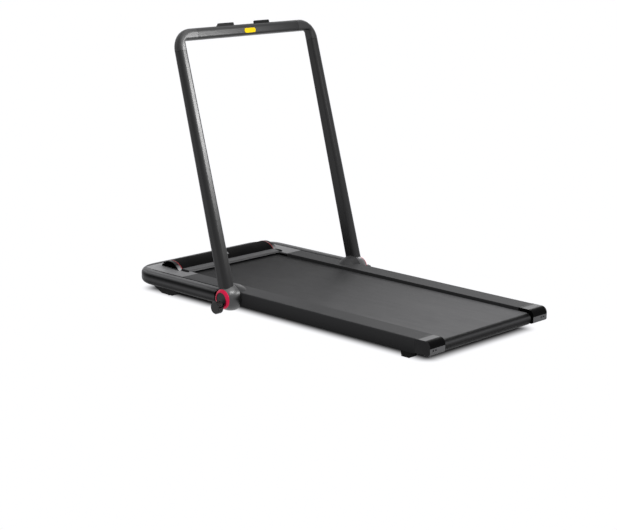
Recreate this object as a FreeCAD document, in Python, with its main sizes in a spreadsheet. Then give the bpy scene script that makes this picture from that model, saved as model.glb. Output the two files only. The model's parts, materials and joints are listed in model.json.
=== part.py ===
"""Walking pad with a folding handrail, drawn in millimetres from one sheet of sizes.

X is the walker's right, Y the walking direction and Z up; the origin lies on the floor under the
middle of the base. The right-hand piece of each pair is drawn and the left one mirrors it. The
handrail stands raised; its pieces are drawn upright about the hinge axis and then leaned forward.
"""
import FreeCAD, Part
import math
import os
import types

import Sketcher

Vector = FreeCAD.Vector

# Driving sizes, in millimetres and degrees.
SIZES = {
    # base
    "base_length": 1322.0,
    "rail_top": 72.0,
    "rail_width": 71.5,
    "rail_wall": 3.0,
    "rail_bottom": 25.0,
    "rail_lip": 12.0,
    "seam": 0.5,
    "fit_clearance": 0.05,
    # walking belt, rollers and deck
    "belt_width": 420.0,
    "belt_side_gap": 5.0,
    "belt_drop": 10.0,
    "belt_thickness": 1.7,
    "run_gap": 0.3,
    "roller_radius": 17.5,
    "roller_bore": 11.5,
    "roller_overhang": 1.0,
    "rear_roller_inset": 24.5,
    "front_roller_inset": 153.0,
    "axle_radius": 6.0,
    "bearing_width": 8.0,
    "deck_thickness": 13.0,
    "cushion_height": 4.0,
    "cushion_size": 30.0,
    "cross_height": 11.0,
    "cross_width": 40.0,
    # steel frame
    "pulley_room": 25.0,
    "beam_width": 28.0,
    "beam_height": 36.0,
    "beam_bottom": 27.0,
    "beam_wall": 2.0,
    "plate_thickness": 6.0,
    "bolt_radius": 2.5,
    "bolt_spread": 18.0,
    # rear caps and feet
    "cap_length": 59.0,
    "cap_radius": 20.0,
    "cap_low_radius": 8.0,
    "cap_bottom": 28.0,
    "cap_hole_radius": 3.5,
    "cap_hole_pitch": 12.0,
    "foot_length": 42.0,
    "foot_inset": 110.0,
    # hinge
    "hinge_setback": 478.0,
    "hinge_height": 50.0,
    "shaft_radius": 9.0,
    "bush_wall": 3.0,
    "barrel_radius": 44.0,
    "barrel_end_radius": 32.0,
    "barrel_length": 42.0,
    "barrel_gap": 1.5,
    "hinge_block_half": 24.0,
    "stop_disc_radius": 29.0,
    "stop_disc_thickness": 6.0,
    "ring_thickness": 8.0,
    "ring_width": 9.5,
    "ring_land": 1.5,
    "ring_bulge": 16.0,
    "dome_length": 55.0,
    "dome_tip_radius": 20.0,
    # clamp knobs
    "knob_offset": 22.0,
    "knob_radius": 20.5,
    "knob_thickness": 21.0,
    "knob_standoff": 18.0,
    "knob_stem_radius": 4.0,
    "flute_radius": 3.0,
    # handrail
    "handrail_lean": 15.7,
    "handrail_reach": 868.0,
    "fold_gap": 2.0,
    "arm_width": 38.0,
    "arm_top_width": 34.0,
    "arm_depth": 50.0,
    "arm_top_depth": 38.0,
    "arm_inner_round": 10.0,
    "arm_outer_round": 16.0,
    "tube_wall": 2.5,
    "elbow_reach": 52.0,
    "elbow_bar_reach": 76.0,
    "elbow_radius": 50.0,
    "elbow_inner_radius": 8.0,
    "elbow_seam": 1.0,
    "spigot_length": 40.0,
    "spigot_gap": 0.3,
    "spigot_half_depth": 8.0,
    # phone slot, tabs and button on the crossbar
    "slot_left": 138.0,
    "slot_right": 127.0,
    "slot_width": 22.0,
    "slot_depth": 15.0,
    "slot_wall": 1.5,
    "tab_thickness": 4.0,
    "tab_height": 15.0,
    "tab_sink": 4.0,
    "tab_pin_radius": 1.5,
    "left_tab_width": 86.0,
    "right_tab_width": 71.0,
    "tab_end_gap": 7.0,
    "tab_slant": 14.0,
    "tab_round": 4.0,
    "button_width": 50.0,
    "button_height": 16.0,
    "button_depth": 6.0,
    "button_proud": 1.2,
    "button_drop": 5.0,
    # front panel, hood and bumper
    "panel_setback": 228.0,
    "lip_setback": 186.0,
    "panel_front_setback": 24.0,
    "panel_corner": 25.0,
    "panel_thickness": 4.0,
    "hood_setback": 104.5,
    "hood_chord": 100.0,
    "hood_height": 25.0,
    "hood_wall": 3.0,
    "hood_overhang": 3.5,
    "trim_width": 2.5,
    "trim_proud": 0.6,
    "hood_end_length": 16.0,
    "hood_end_front": 8.0,
    "skirt_rise": 5.0,
    "sensor_width": 30.0,
    "sensor_proud": 0.8,
    "bumper_width": 38.0,
    "bumper_height": 48.0,
    "bumper_wall": 3.0,
    "bumper_corner": 80.0,
    "pan_thickness": 3.0,
    "pan_setback": 119.0,
    # motor and drive
    "motor_setback": 101.0,
    "motor_height": 56.0,
    "motor_radius": 26.0,
    "motor_length": 180.0,
    "motor_shaft_radius": 5.0,
    "motor_left": 30.0,
    "roller_pulley_radius": 19.0,
    "motor_pulley_radius": 9.0,
    "pulley_width": 18.0,
    "flange_height": 2.0,
    "flange_thickness": 2.0,
    "drive_belt_thickness": 2.5,
    # control box and mains inlet
    "control_length": 150.0,
    "control_depth": 55.0,
    "control_height": 33.0,
    "inlet_left": 150.0,
    "inlet_width": 76.0,
    "inlet_height": 28.0,
    "inlet_recess": 2.0,
    "socket_width": 24.0,
    "socket_height": 16.0,
    "socket_depth": 20.0,
    "rocker_pin_radius": 2.0,
    "rocker_width": 20.0,
    "rocker_height": 14.8,
    "rocker_tilt": 6.0,
    # transport wheels
    "wheel_setback": 173.0,
    "wheel_radius": 12.0,
    "wheel_width": 16.0,
    "wheel_axle_radius": 3.0,
    "wheel_inset": 33.5,
    "wheel_bracket_width": 30.0,
    "bracket_rear_top": 34.0,
    "bracket_rear_low": 22.0,
    "bracket_rear_sole": 14.0,
    "bracket_front_sole": 12.0,
    "bracket_front_top": 58.0,
    "bracket_chin": 9.0,
    "bracket_floor_gap": 5.0,
}

CROSS_PLACES = (0.095, 0.384, 0.672, 0.932)
KNOB_FLUTES = 14


class Size:
    """A length that remembers the sheet formula it comes from."""

    def __init__(self, value, formula):
        self.value = float(value)
        self.formula = formula

    def __add__(self, other):
        other = as_size(other)
        return Size(self.value + other.value, f"({self.formula} + {other.formula})")

    def __sub__(self, other):
        other = as_size(other)
        return Size(self.value - other.value, f"({self.formula} - {other.formula})")

    def __mul__(self, other):
        other = as_size(other)
        return Size(self.value * other.value, f"({self.formula} * {other.formula})")

    def __truediv__(self, other):
        other = as_size(other)
        return Size(self.value / other.value, f"({self.formula} / {other.formula})")

    def __neg__(self):
        return Size(-self.value, f"(-1 * {self.formula})")

    def __radd__(self, other):
        return as_size(other) + self

    def __rsub__(self, other):
        return as_size(other) - self

    def __rmul__(self, other):
        return as_size(other) * self


def as_size(number):
    return number if isinstance(number, Size) else Size(number, f"({float(number)})")


def root(size):
    return Size(math.sqrt(size.value), f"sqrt({size.formula})")


def sine(angle):
    return Size(math.sin(math.radians(angle.value)), f"sin({angle.formula})")


def cosine(angle):
    return Size(math.cos(math.radians(angle.value)), f"cos({angle.formula})")


doc = FreeCAD.newDocument("walking_pad")
sheet = doc.addObject("Spreadsheet::Sheet", "dims")
for row, (alias, amount) in enumerate(SIZES.items(), start=1):
    sheet.set(f"A{row}", alias)
    sheet.set(f"B{row}", str(amount))
    sheet.setAlias(f"B{row}", alias)
doc.recompute()
s = types.SimpleNamespace(**{alias: Size(amount, f"dims.{alias}") for alias, amount in SIZES.items()})

ALONG = {
    "x": FreeCAD.Rotation(Vector(0, 1, 0), 90),
    "y": FreeCAD.Rotation(Vector(1, 0, 0), -90),
    "z": FreeCAD.Rotation(),
}
NODES = {}


def node(label, thing):
    """Keep a finished piece under its own name."""
    thing.Label = label
    NODES[label] = thing
    return thing


def bind(thing, path, size):
    thing.setExpression(path, as_size(size).formula)


def move(thing, x=0, y=0, z=0, rotation=None):
    thing.Placement = FreeCAD.Placement(Vector(), rotation or FreeCAD.Rotation())
    for axis, amount in zip("xyz", (x, y, z)):
        bind(thing, f"Placement.Base.{axis}", amount)
    return thing


def turn_about_x(thing, angle):
    thing.Placement = FreeCAD.Placement(thing.Placement.Base, FreeCAD.Rotation(Vector(1, 0, 0), 1))
    bind(thing, "Placement.Rotation.Angle", angle)
    return thing


def box(x, y, z):
    """A block between two limits on each axis."""
    block = doc.addObject("Part::Box", "block")
    for path, (low, high) in zip(("Length", "Width", "Height"), (x, y, z)):
        bind(block, path, as_size(high) - low)
    return move(block, x[0], y[0], z[0])


def rod(radius, low, high, across, axis="x"):
    """A cylinder along one axis; across gives its centre on the two other axes, in order."""
    cylinder = doc.addObject("Part::Cylinder", "rod")
    bind(cylinder, "Radius", radius)
    bind(cylinder, "Height", as_size(high) - low)
    first, second = across
    places = {"x": (low, first, second), "y": (first, low, second), "z": (first, second, low)}
    return move(cylinder, *places[axis], ALONG[axis])


def cut(base, *tools):
    result = doc.addObject("Part::Cut", "cut")
    result.Base = base
    result.Tool = tools[0] if len(tools) == 1 else fuse(*tools)
    return result


def fuse(*things):
    result = doc.addObject("Part::MultiFuse", "joined")
    result.Shapes = list(things)
    return result


def overlap(*things):
    result = doc.addObject("Part::MultiCommon", "overlap")
    result.Shapes = list(things)
    return result


def group(*things):
    result = doc.addObject("Part::Compound", "group")
    result.Links = list(things)
    return result


def mirror(thing):
    result = doc.addObject("Part::Mirroring", "mirrored")
    result.Source = thing
    result.Normal = Vector(1, 0, 0)
    return result


def pair(label, thing):
    """The right-hand piece and its mirrored left-hand twin, as two pieces."""
    node(f"{label}_right", thing)
    node(f"{label}_left", mirror(thing))


def twins(label, thing):
    """The right-hand piece and its mirrored twin, as one group of two solids."""
    node(label, group(thing, mirror(thing)))


def edge_between(start, end):
    """The line or arc that leaves one corner of an outline; and which of its ends is which."""
    first = Vector(as_size(start[0]).value, as_size(start[1]).value, 0)
    last = Vector(as_size(end[0]).value, as_size(end[1]).value, 0)
    if len(start) == 2:
        return Part.LineSegment(first, last), (1, 2)
    radius = as_size(start[2]).value
    chord = last - first
    rise = math.sqrt(max(radius ** 2 - chord.Length ** 2 / 4, 0))
    left = Vector(-chord.y, chord.x, 0).normalize()
    centre = (first + last) * 0.5 + left * rise * start[3]
    begin, finish = (first, last) if start[3] > 0 else (last, first)
    angles = [math.atan2(p.y - centre.y, p.x - centre.x) for p in (begin, finish)]
    if angles[1] < angles[0]:
        angles[1] += 2 * math.pi
    arc = Part.ArcOfCircle(Part.Circle(centre, Vector(0, 0, 1), radius), *angles)
    return arc, (1, 2) if start[3] > 0 else (2, 1)


def constrain(sketch, size, *terms):
    size = as_size(size)
    index = sketch.addConstraint(Sketcher.Constraint(*terms, size.value))
    sketch.setExpression(f"Constraints[{index}]", size.formula)


def draw(sketch, outline):
    """A closed outline: corners (u, v), or (u, v, radius, turn) where an arc leaves the corner."""
    edges = []
    for place, corner in enumerate(outline):
        shape, ends = edge_between(corner, outline[(place + 1) % len(outline)])
        edges.append((sketch.addGeometry(shape, False), ends))
    for place, (edge, ends) in enumerate(edges):
        following, next_ends = edges[(place + 1) % len(edges)]
        sketch.addConstraint(Sketcher.Constraint("Coincident", edge, ends[1], following, next_ends[0]))
    for corner, (edge, ends) in zip(outline, edges):
        constrain(sketch, corner[0], "DistanceX", -1, 1, edge, ends[0])
        constrain(sketch, corner[1], "DistanceY", -1, 1, edge, ends[0])
        if len(corner) == 4:
            constrain(sketch, corner[2], "Radius", edge)


def add_sketch(body, plane, lift, *outlines):
    sketch = body.newObject("Sketcher::SketchObject", "outline")
    support = next(f for f in body.Origin.OriginFeatures if f.Role == f"{plane}_Plane")
    sketch.AttachmentSupport = [(support, "")]
    sketch.MapMode = "FlatFace"
    bind(sketch, "AttachmentOffset.Base.z", lift)
    for outline in outlines:
        draw(sketch, outline)
    return sketch


def new_body():
    return doc.addObject("PartDesign::Body", "body")


def prism(plane, low, high, *outlines):
    """Outlines on a plane, padded between two limits on the axis across it."""
    body = new_body()
    lift = -as_size(high) if plane == "XZ" else low
    pad = body.newObject("PartDesign::Pad", "pad")
    pad.Profile = add_sketch(body, plane, lift, *outlines)
    bind(pad, "Length", as_size(high) - low)
    return body


def round_edges(body, radius, spots):
    """Rounds the edges of a body's last feature that pass through the given spots."""
    feature = body.Tip
    doc.recompute()
    names = []
    for spot in spots:
        vertex = Part.Vertex(*[as_size(value).value for value in spot])
        gaps = [edge.distToShape(vertex)[0] for edge in feature.Shape.Edges]
        names.append(f"Edge{gaps.index(min(gaps)) + 1}")
    blend = body.newObject("PartDesign::Fillet", "blend")
    blend.Base = (feature, names)
    bind(blend, "Radius", radius)


def spun(outline):
    """An outline of (x, radius) corners, turned about the X axis."""
    body = new_body()
    turned = body.newObject("PartDesign::Revolution", "turned")
    turned.Profile = add_sketch(body, "XY", 0, outline)
    turned.ReferenceAxis = (turned.Profile[0], ["H_Axis"])
    turned.Angle = 360
    return body


def rectangle(u, v):
    return [(u[0], v[0]), (u[1], v[0]), (u[1], v[1]), (u[0], v[1])]


def rounded(u, v, low_round, high_round):
    """A rectangle with one corner radius at its low-u side and another at its high-u side."""
    (ul, uh), (vl, vh) = u, v
    return [
        (ul + low_round, vl), (uh - high_round, vl, high_round, 1),
        (uh, vl + high_round), (uh, vh - high_round, high_round, 1),
        (uh - high_round, vh), (ul + low_round, vh, low_round, 1),
        (ul, vh - low_round), (ul, vl + low_round, low_round, 1),
    ]


def swapped(outline):
    """The same outline with its two axes exchanged."""
    result = []
    for corner in outline:
        arc = () if len(corner) == 2 else (corner[2], -corner[3])
        result.append((corner[1], corner[0], *arc))
    return result


def swept(plane, lift, profile, hollow, spine_plane, spine_lift, spine):
    """A tube: one profile along an open spine, with a second profile taken out along it."""
    body = new_body()
    path = body.newObject("Sketcher::SketchObject", "spine")
    support = next(f for f in body.Origin.OriginFeatures if f.Role == f"{spine_plane}_Plane")
    path.AttachmentSupport = [(support, "")]
    path.MapMode = "FlatFace"
    bind(path, "AttachmentOffset.Base.z", spine_lift)
    edges = []
    for start, end in zip(spine, spine[1:]):
        shape, ends = edge_between(start, end)
        edges.append((path.addGeometry(shape, False), ends))
    for (edge, ends), (following, next_ends) in zip(edges, edges[1:]):
        path.addConstraint(Sketcher.Constraint("Coincident", edge, ends[1], following, next_ends[0]))
    stations = [(edge, ends[0]) for edge, ends in edges] + [(edges[-1][0], edges[-1][1][1])]
    for corner, (edge, end) in zip(spine, stations):
        constrain(path, corner[0], "DistanceX", -1, 1, edge, end)
        constrain(path, corner[1], "DistanceY", -1, 1, edge, end)
        if len(corner) == 4:
            constrain(path, corner[2], "Radius", edge)
    for kind, outline in (("PartDesign::AdditivePipe", profile), ("PartDesign::SubtractivePipe", hollow)):
        section = add_sketch(body, plane, lift, outline)
        pipe = body.newObject(kind, "pipe")
        pipe.Profile = section
        pipe.Spine = path
    return body


# Places that follow from the sizes.
front_end = s.base_length / 2
rear_end = -front_end
hinge_y = front_end - s.hinge_setback
rail_in = s.belt_width / 2 + s.belt_side_gap
rail_out = rail_in + s.rail_width
arm_in = rail_out + s.fold_gap
arm_out = arm_in + s.arm_width
arm_middle = arm_in + s.arm_width / 2
arm_top_out = arm_in + s.arm_top_width
wheel_x = arm_out - s.wheel_inset
bumper_in = arm_out - s.bumper_width
bumper_front_in = front_end - s.bumper_width
belt_top = s.rail_top - s.belt_drop
belt_inner_radius = s.roller_radius + s.run_gap
belt_outer_radius = belt_inner_radius + s.belt_thickness
roller_z = belt_top - belt_outer_radius
roller_half = s.belt_width / 2 + s.roller_overhang
rear_roller_y = rear_end + s.rear_roller_inset
front_roller_y = front_end - s.front_roller_inset
deck_top = roller_z + s.roller_radius
deck_bottom = deck_top - s.deck_thickness
cross_top = deck_bottom - s.cushion_height
beam_in = rail_in + s.pulley_room
beam_out = beam_in + s.beam_width
beam_top = s.beam_bottom + s.beam_height
cap_front = rear_end + s.cap_length
beam_rear = cap_front + 8
beam_front = bumper_front_in - 22
panel_rear = front_end - s.panel_setback
lip_y = front_end - s.lip_setback
panel_front = front_end - s.panel_front_setback
hood_y = front_end - s.hood_setback
hood_half = rail_in + s.hood_overhang
motor_y = front_end - s.motor_setback
bolt_x = beam_in + s.bolt_spread
barrel_in = rail_out + s.barrel_gap
barrel_out = barrel_in + s.barrel_length
reach = s.handrail_reach


def at_hinge(thing):
    """Stand a fixed piece, drawn about the X axis, at the hinge."""
    return move(thing, 0, hinge_y, s.hinge_height)


def on_handrail(thing):
    """Lean a piece that is drawn upright about the hinge axis."""
    return turn_about_x(move(thing, 0, hinge_y, s.hinge_height), -s.handrail_lean)


def frame():
    """Steel beams, cross members and the axle plates behind them."""
    wall = s.beam_wall
    lengthways = (beam_rear, beam_front)
    tube = cut(
        box((beam_in, beam_out), lengthways, (s.beam_bottom, beam_top)),
        box((beam_in + wall, beam_out - wall), (beam_rear - 1, beam_front + 1),
            (s.beam_bottom + wall, beam_top - wall)),
    )
    axle_plate = box((beam_in, beam_in + s.plate_thickness), (rear_end + 14, beam_rear + 20),
                     (s.cap_bottom + s.rail_wall + 1, roller_z + 16))
    end_plate = box((beam_in, beam_out), (beam_rear, beam_rear + s.plate_thickness),
                    (s.beam_bottom, beam_top))
    axle_hole = s.axle_radius + s.fit_clearance
    holes = (
        rod(axle_hole, beam_in - 5, beam_out + 5, (rear_roller_y, roller_z)),
        rod(axle_hole, beam_in - 5, beam_out + 5, (front_roller_y, roller_z)),
        rod(s.shaft_radius + s.fit_clearance, beam_in - 5, beam_out + 5, (hinge_y, s.hinge_height)),
        rod(s.bolt_radius + s.fit_clearance, beam_rear - 5, beam_rear + 15, (bolt_x, roller_z), "y"),
    )
    pair("frame_beam", cut(fuse(tube, axle_plate, end_plate), *holes))
    members = []
    cushions = []
    for place in CROSS_PLACES:
        middle = rear_roller_y + (front_roller_y - rear_roller_y) * place
        span = (middle - s.cross_width / 2, middle + s.cross_width / 2)
        depth = (cross_top - s.cross_height, cross_top)
        hollow = box((-beam_in, beam_in), (span[0] + wall, span[1] - wall),
                     (depth[0] + wall, depth[1] - wall))
        members.append(cut(box((-beam_in, beam_in), span, depth), hollow))
        for side in (-1, 1):
            centre = side * (s.belt_width / 2 - s.cushion_size)
            half = s.cushion_size / 2
            cushions.append(box((centre - half, centre + half), (middle - half, middle + half),
                                (cross_top, deck_bottom)))
    members.append(box((-beam_in, beam_in), (beam_front - 10, beam_front), (s.beam_bottom, beam_top - 6)))
    node("cross_members", group(*members))
    node("deck_cushions", group(*cushions))


def deck_and_belt():
    half = s.belt_width / 2
    node("deck_board", box((-half - 2, half + 2), (rear_roller_y + s.roller_radius + 8,
                                                   front_roller_y - s.roller_radius - 8),
                           (deck_bottom, deck_top)))

    def loop(radius):
        back, front, z = rear_roller_y, front_roller_y, roller_z
        return [(back, z - radius), (front, z - radius, radius, 1), (front + radius, z, radius, 1),
                (front, z + radius), (back, z + radius, radius, 1), (back - radius, z, radius, 1)]

    node("walking_belt", prism("YZ", -half, half, loop(belt_outer_radius), loop(belt_inner_radius)))


def pulley(start, groove, hub):
    """Corners of a flanged pulley that begins at x = start, from its groove side down to its hub."""
    rim = groove + s.flange_height
    first, second = start + s.flange_thickness, start + s.pulley_width - s.flange_thickness
    end = start + s.pulley_width
    return [(start, rim), (first, rim), (first, groove), (second, groove), (second, rim),
            (end, rim), (end, hub)]


def rollers():
    """Both rollers, the axles they turn on, their bearings and the tension bolts."""
    half = roller_half
    bore = s.roller_bore
    hub = s.axle_radius + 2
    start = half + 5
    seat = half - 3
    front = spun([(-half, bore), (-half, s.roller_radius), (half, s.roller_radius), (half, bore + 2),
                  (start, bore + 2), *pulley(start, s.roller_pulley_radius, hub),
                  (seat, hub), (seat, bore)])
    node("front_roller", move(front, 0, front_roller_y, roller_z))
    rear = spun([(-half, bore), (-half, s.roller_radius), (half, s.roller_radius), (half, bore)])
    node("rear_roller", move(rear, 0, rear_roller_y, roller_z))
    bearings = []
    for y in (front_roller_y, rear_roller_y):
        for side in (-1, 1):
            middle = side * (seat - s.bearing_width / 2)
            ends = (middle - s.bearing_width / 2, middle + s.bearing_width / 2)
            ring = rod(bore - s.fit_clearance, *ends, (y, roller_z))
            bearings.append(cut(ring, rod(s.axle_radius + s.fit_clearance, *ends, (y, roller_z))))
    node("roller_bearings", group(*bearings))
    node("front_axle", rod(s.axle_radius, -beam_out + 1, beam_out - 1, (front_roller_y, roller_z)))
    bolt_hole = s.bolt_radius + 0.3
    holes = [rod(bolt_hole, rear_roller_y - 12, rear_roller_y + 12, (x, roller_z), "y")
             for x in (-bolt_x, bolt_x)]
    rear_axle = rod(s.axle_radius, -bolt_x - 12, bolt_x + 12, (rear_roller_y, roller_z))
    node("rear_axle", cut(rear_axle, *holes))
    head = rear_roller_y - s.axle_radius - 6
    twins("tension_bolts", fuse(
        rod(s.bolt_radius + 2, head, head + 4, (bolt_x, roller_z), "y"),
        rod(s.bolt_radius, head, beam_rear + s.plate_thickness + 4, (bolt_x, roller_z), "y"),
    ))


def side_covers():
    """Side rails with their hinge hole, and the rear end caps."""
    wall = s.rail_wall
    profile = [(rail_in, s.rail_top - s.rail_lip), (rail_in + wall, s.rail_top - s.rail_lip),
               (rail_in + wall, s.rail_top - wall), (rail_out - wall, s.rail_top - wall),
               (rail_out - wall, s.rail_bottom), (rail_out, s.rail_bottom),
               (rail_out, s.rail_top - wall, wall, 1), (rail_out - wall, s.rail_top), (rail_in, s.rail_top)]
    rail = prism("XZ", cap_front + s.seam, panel_rear - s.seam, profile)
    hole = rod(s.shaft_radius + 3, rail_out - wall - 5, rail_out + 5, (hinge_y, s.hinge_height))
    pair("side_rail", cut(rail, hole))

    def nose(inset, front):
        high, low = s.cap_radius - inset, s.cap_low_radius - inset
        rear, top, bottom = rear_end + inset, s.rail_top - inset, s.cap_bottom + inset
        return [(front, bottom), (front, top), (rear + high, top, high, 1), (rear, top - high),
                (rear, bottom + low, low, 1), (rear + low, bottom)]

    shell = prism("YZ", rail_in + s.seam, rail_out, nose(as_size(0), cap_front))
    hollow = prism("YZ", rail_in + s.seam + wall, rail_out - wall, nose(wall, cap_front + 5))
    holes = [rod(s.axle_radius + 1.5, rail_in - 5, rail_in + 10, (rear_roller_y, roller_z))]
    for x in (bolt_x, bolt_x + s.cap_hole_pitch):
        holes.append(rod(s.cap_hole_radius, rear_end - 5, rear_end + wall + 8, (x, roller_z), "y"))
    pair("rear_cap", cut(shell, hollow, *holes))
    middle = rear_end + s.foot_inset
    half = s.foot_length / 2
    twins("rear_feet", prism("YZ", beam_in - 6, beam_out, [
        (middle - half, s.beam_bottom), (middle - half + 6, 0), (middle + half - 6, 0),
        (middle + half, s.beam_bottom)]))


def front_cover():
    """Front panel, hood with its ends, trims, skirt and sensor, and the belly pan."""
    side = rail_out
    front, corner = panel_front, s.panel_corner
    chord, rise = s.hood_chord / 2, s.hood_height
    opening = rectangle((-hood_half + 6, hood_half - 6),
                        (hood_y - chord + 7, hood_y + chord - 7))
    plate = [(-side, panel_rear), (-rail_in, panel_rear), (-rail_in, lip_y), (rail_in, lip_y),
             (rail_in, panel_rear), (side, panel_rear), (side, front - corner, corner, 1),
             (side - corner, front), (corner - side, front, corner, 1), (-side, front - corner)]
    node("front_panel", prism("XY", s.rail_top - s.panel_thickness, s.rail_top, plate, opening))
    radius = (chord * chord + rise * rise) / (2 * rise)
    centre_z = s.rail_top + rise - radius

    def across(size):
        return root(size * size - (radius - rise) * (radius - rise))

    def arch(outer, inner):
        wide, narrow = across(outer), across(inner)
        return [(hood_y + narrow, s.rail_top), (hood_y + wide, s.rail_top, outer, 1),
                (hood_y - wide, s.rail_top), (hood_y - narrow, s.rail_top, inner, -1)]

    inner = radius - s.hood_wall
    edge = hood_half
    node("hood", prism("YZ", -edge, edge, arch(radius, inner)))
    trim_end = edge + s.trim_width
    twins("hood_trims", prism("YZ", edge, trim_end, arch(radius + s.trim_proud, inner)))
    end = trim_end + s.hood_end_length
    rim = prism("YZ", trim_end, end, arch(radius, inner))
    wide = across(inner + 0.5)
    web = prism("YZ", trim_end, trim_end + s.hood_wall, [
        (hood_y + wide, s.rail_top, inner + 0.5, 1), (hood_y - wide, s.rail_top)])
    back, ahead = hood_y - chord, hood_y + chord
    slanted = prism("XY", s.rail_top - 1, s.rail_top + rise + 1, [
        (end, back), (end + 1, back), (end + 1, ahead), (trim_end + s.hood_end_front, ahead)])
    twins("hood_ends", cut(fuse(rim, web), slanted))

    def band(start, finish, proud):
        """Part of a ring just above the hood, between two angles behind the crest."""
        points = []
        inside = radius + 0.2
        for size in (inside, radius + proud):
            points.append([(hood_y - size * sine(angle), centre_z + size * cosine(angle))
                           for angle in (start, finish)])
        (a, b), (c, d) = points
        return [(*a, inside, 1), b, (*d, radius + proud, -1), c]

    half = s.sensor_width / 2
    steps = [as_size(a) for a in (-16.0, 31.0, 46.0)]
    node("sensor_cover", prism("YZ", -half, half, band(steps[0], steps[1], s.sensor_proud)))
    node("sensor_window", prism("YZ", 2 - half, half - 2, band(steps[1], steps[2], s.sensor_proud)))
    node("hood_skirt", prism("YZ", -edge, edge, [
        (lip_y, s.rail_top), (back - s.seam, s.rail_top), (back - s.seam, s.rail_top + s.skirt_rise),
        (lip_y + 4, s.rail_top + s.skirt_rise / 2)]))
    pan_top = s.beam_bottom
    half = wheel_x - s.wheel_bracket_width / 2 - s.seam
    rear, front = front_end - s.pan_setback, bumper_front_in - s.seam
    corner = s.bumper_corner - s.bumper_width / 2
    node("belly_pan", prism("XY", pan_top - s.pan_thickness, pan_top, [
        (-half, rear), (half, rear), (half, front - corner, corner, 1), (half - corner, front),
        (corner - half, front, corner, 1), (-half, front - corner)]))


def bumper():
    """The U-shaped bumper, open to the hinge barrels and windowed for the mains inlet."""
    half = s.bumper_width / 2
    low, high = s.hinge_height - s.bumper_height / 2, s.hinge_height + s.bumper_height / 2
    side = arm_out - half
    front = front_end - half
    corner = s.bumper_corner
    start = hinge_y + s.barrel_radius * 0.6
    spine = [(side, start), (side, front - corner, corner, 1), (side - corner, front),
             (corner - side, front, corner, 1), (-side, front - corner), (-side, start)]
    outer = rounded((bumper_in, arm_out), (low, high), s.arm_inner_round, s.arm_outer_round)
    wall = s.bumper_wall
    hollow = rounded((bumper_in + wall, arm_out - wall), (low + wall, high - wall),
                     s.arm_inner_round - wall / 2, s.arm_outer_round - wall)
    tube = swept("XZ", -start, outer, hollow, "XY", s.hinge_height, spine)
    relief = rod(s.barrel_radius + s.barrel_gap, -arm_out - 10, arm_out + 10, (hinge_y, s.hinge_height))
    window = box((s.inlet_left, s.inlet_left + s.inlet_width), (front_end - 12, front_end + 10),
                 (s.hinge_height - s.inlet_height / 2, s.hinge_height + s.inlet_height / 2))
    wide, ahead, turn = rail_out + s.seam, panel_front + s.seam, s.panel_corner + s.seam
    rebate = prism("XY", s.rail_top - s.panel_thickness - s.seam, high + 5, [
        (-wide, front - corner), (wide, front - corner), (wide, ahead - turn, turn, 1), (wide - turn, ahead),
        (turn - wide, ahead, turn, 1), (-wide, ahead - turn)])
    node("front_bumper", cut(tube, relief, window, rebate))


def drive():
    """Motor, its rotor with pulley, the cradle that holds it and the drive belt."""
    left, right = -s.motor_left, s.motor_length - s.motor_left
    radius, shaft, wall = s.motor_radius, s.motor_shaft_radius, 3.0
    loose = shaft + 0.3
    housing = spun([(left, 0), (left, radius), (right, radius), (right, loose), (right - 4, loose),
                    (right - 4, radius - wall), (left + 4, radius - wall), (left + 4, 0)])
    node("motor_housing", move(housing, 0, motor_y, s.motor_height))
    start = roller_half + 5
    rotor = spun([(left + 8, 0), (left + 8, radius - 8), (right - 20, radius - 8), (right - 20, shaft),
                  (start, shaft), *pulley(start, s.motor_pulley_radius, 0)])
    node("motor_rotor", move(rotor, 0, motor_y, s.motor_height))
    block = box((left + 30, right - 30), (motor_y + 10, beam_front - 10),
                (s.beam_bottom, s.motor_height + 1))
    node("motor_cradle", cut(block, rod(radius + s.fit_clearance, left, right, (motor_y, s.motor_height))))
    dy, dz = motor_y - front_roller_y, s.motor_height - roller_z
    distance = root(dy * dy + dz * dz)
    along = (dy / distance, dz / distance)
    lean = (s.roller_pulley_radius - s.motor_pulley_radius) / distance
    off = root(1 - lean * lean)

    def loop(extra):
        big, small = s.roller_pulley_radius + extra, s.motor_pulley_radius + extra
        normals = [(along[0] * lean - side * off * along[1], along[1] * lean + side * off * along[0])
                   for side in (1, -1)]
        upper, lower = normals

        def spot(centre, radius, direction):
            return (centre[0] + radius * direction[0], centre[1] + radius * direction[1])

        roller, motor = (front_roller_y, roller_z), (motor_y, s.motor_height)
        back = (-along[0], -along[1])
        return [(*spot(roller, big, upper), big, 1), (*spot(roller, big, back), big, 1),
                spot(roller, big, lower), (*spot(motor, small, lower), small, 1),
                (*spot(motor, small, along), small, 1), spot(motor, small, upper)]

    inner = s.run_gap
    edge = start + s.flange_thickness + 0.5
    node("drive_belt", prism("YZ", edge, start + s.pulley_width - s.flange_thickness - 0.5,
                             loop(inner + s.drive_belt_thickness), loop(inner)))


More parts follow.
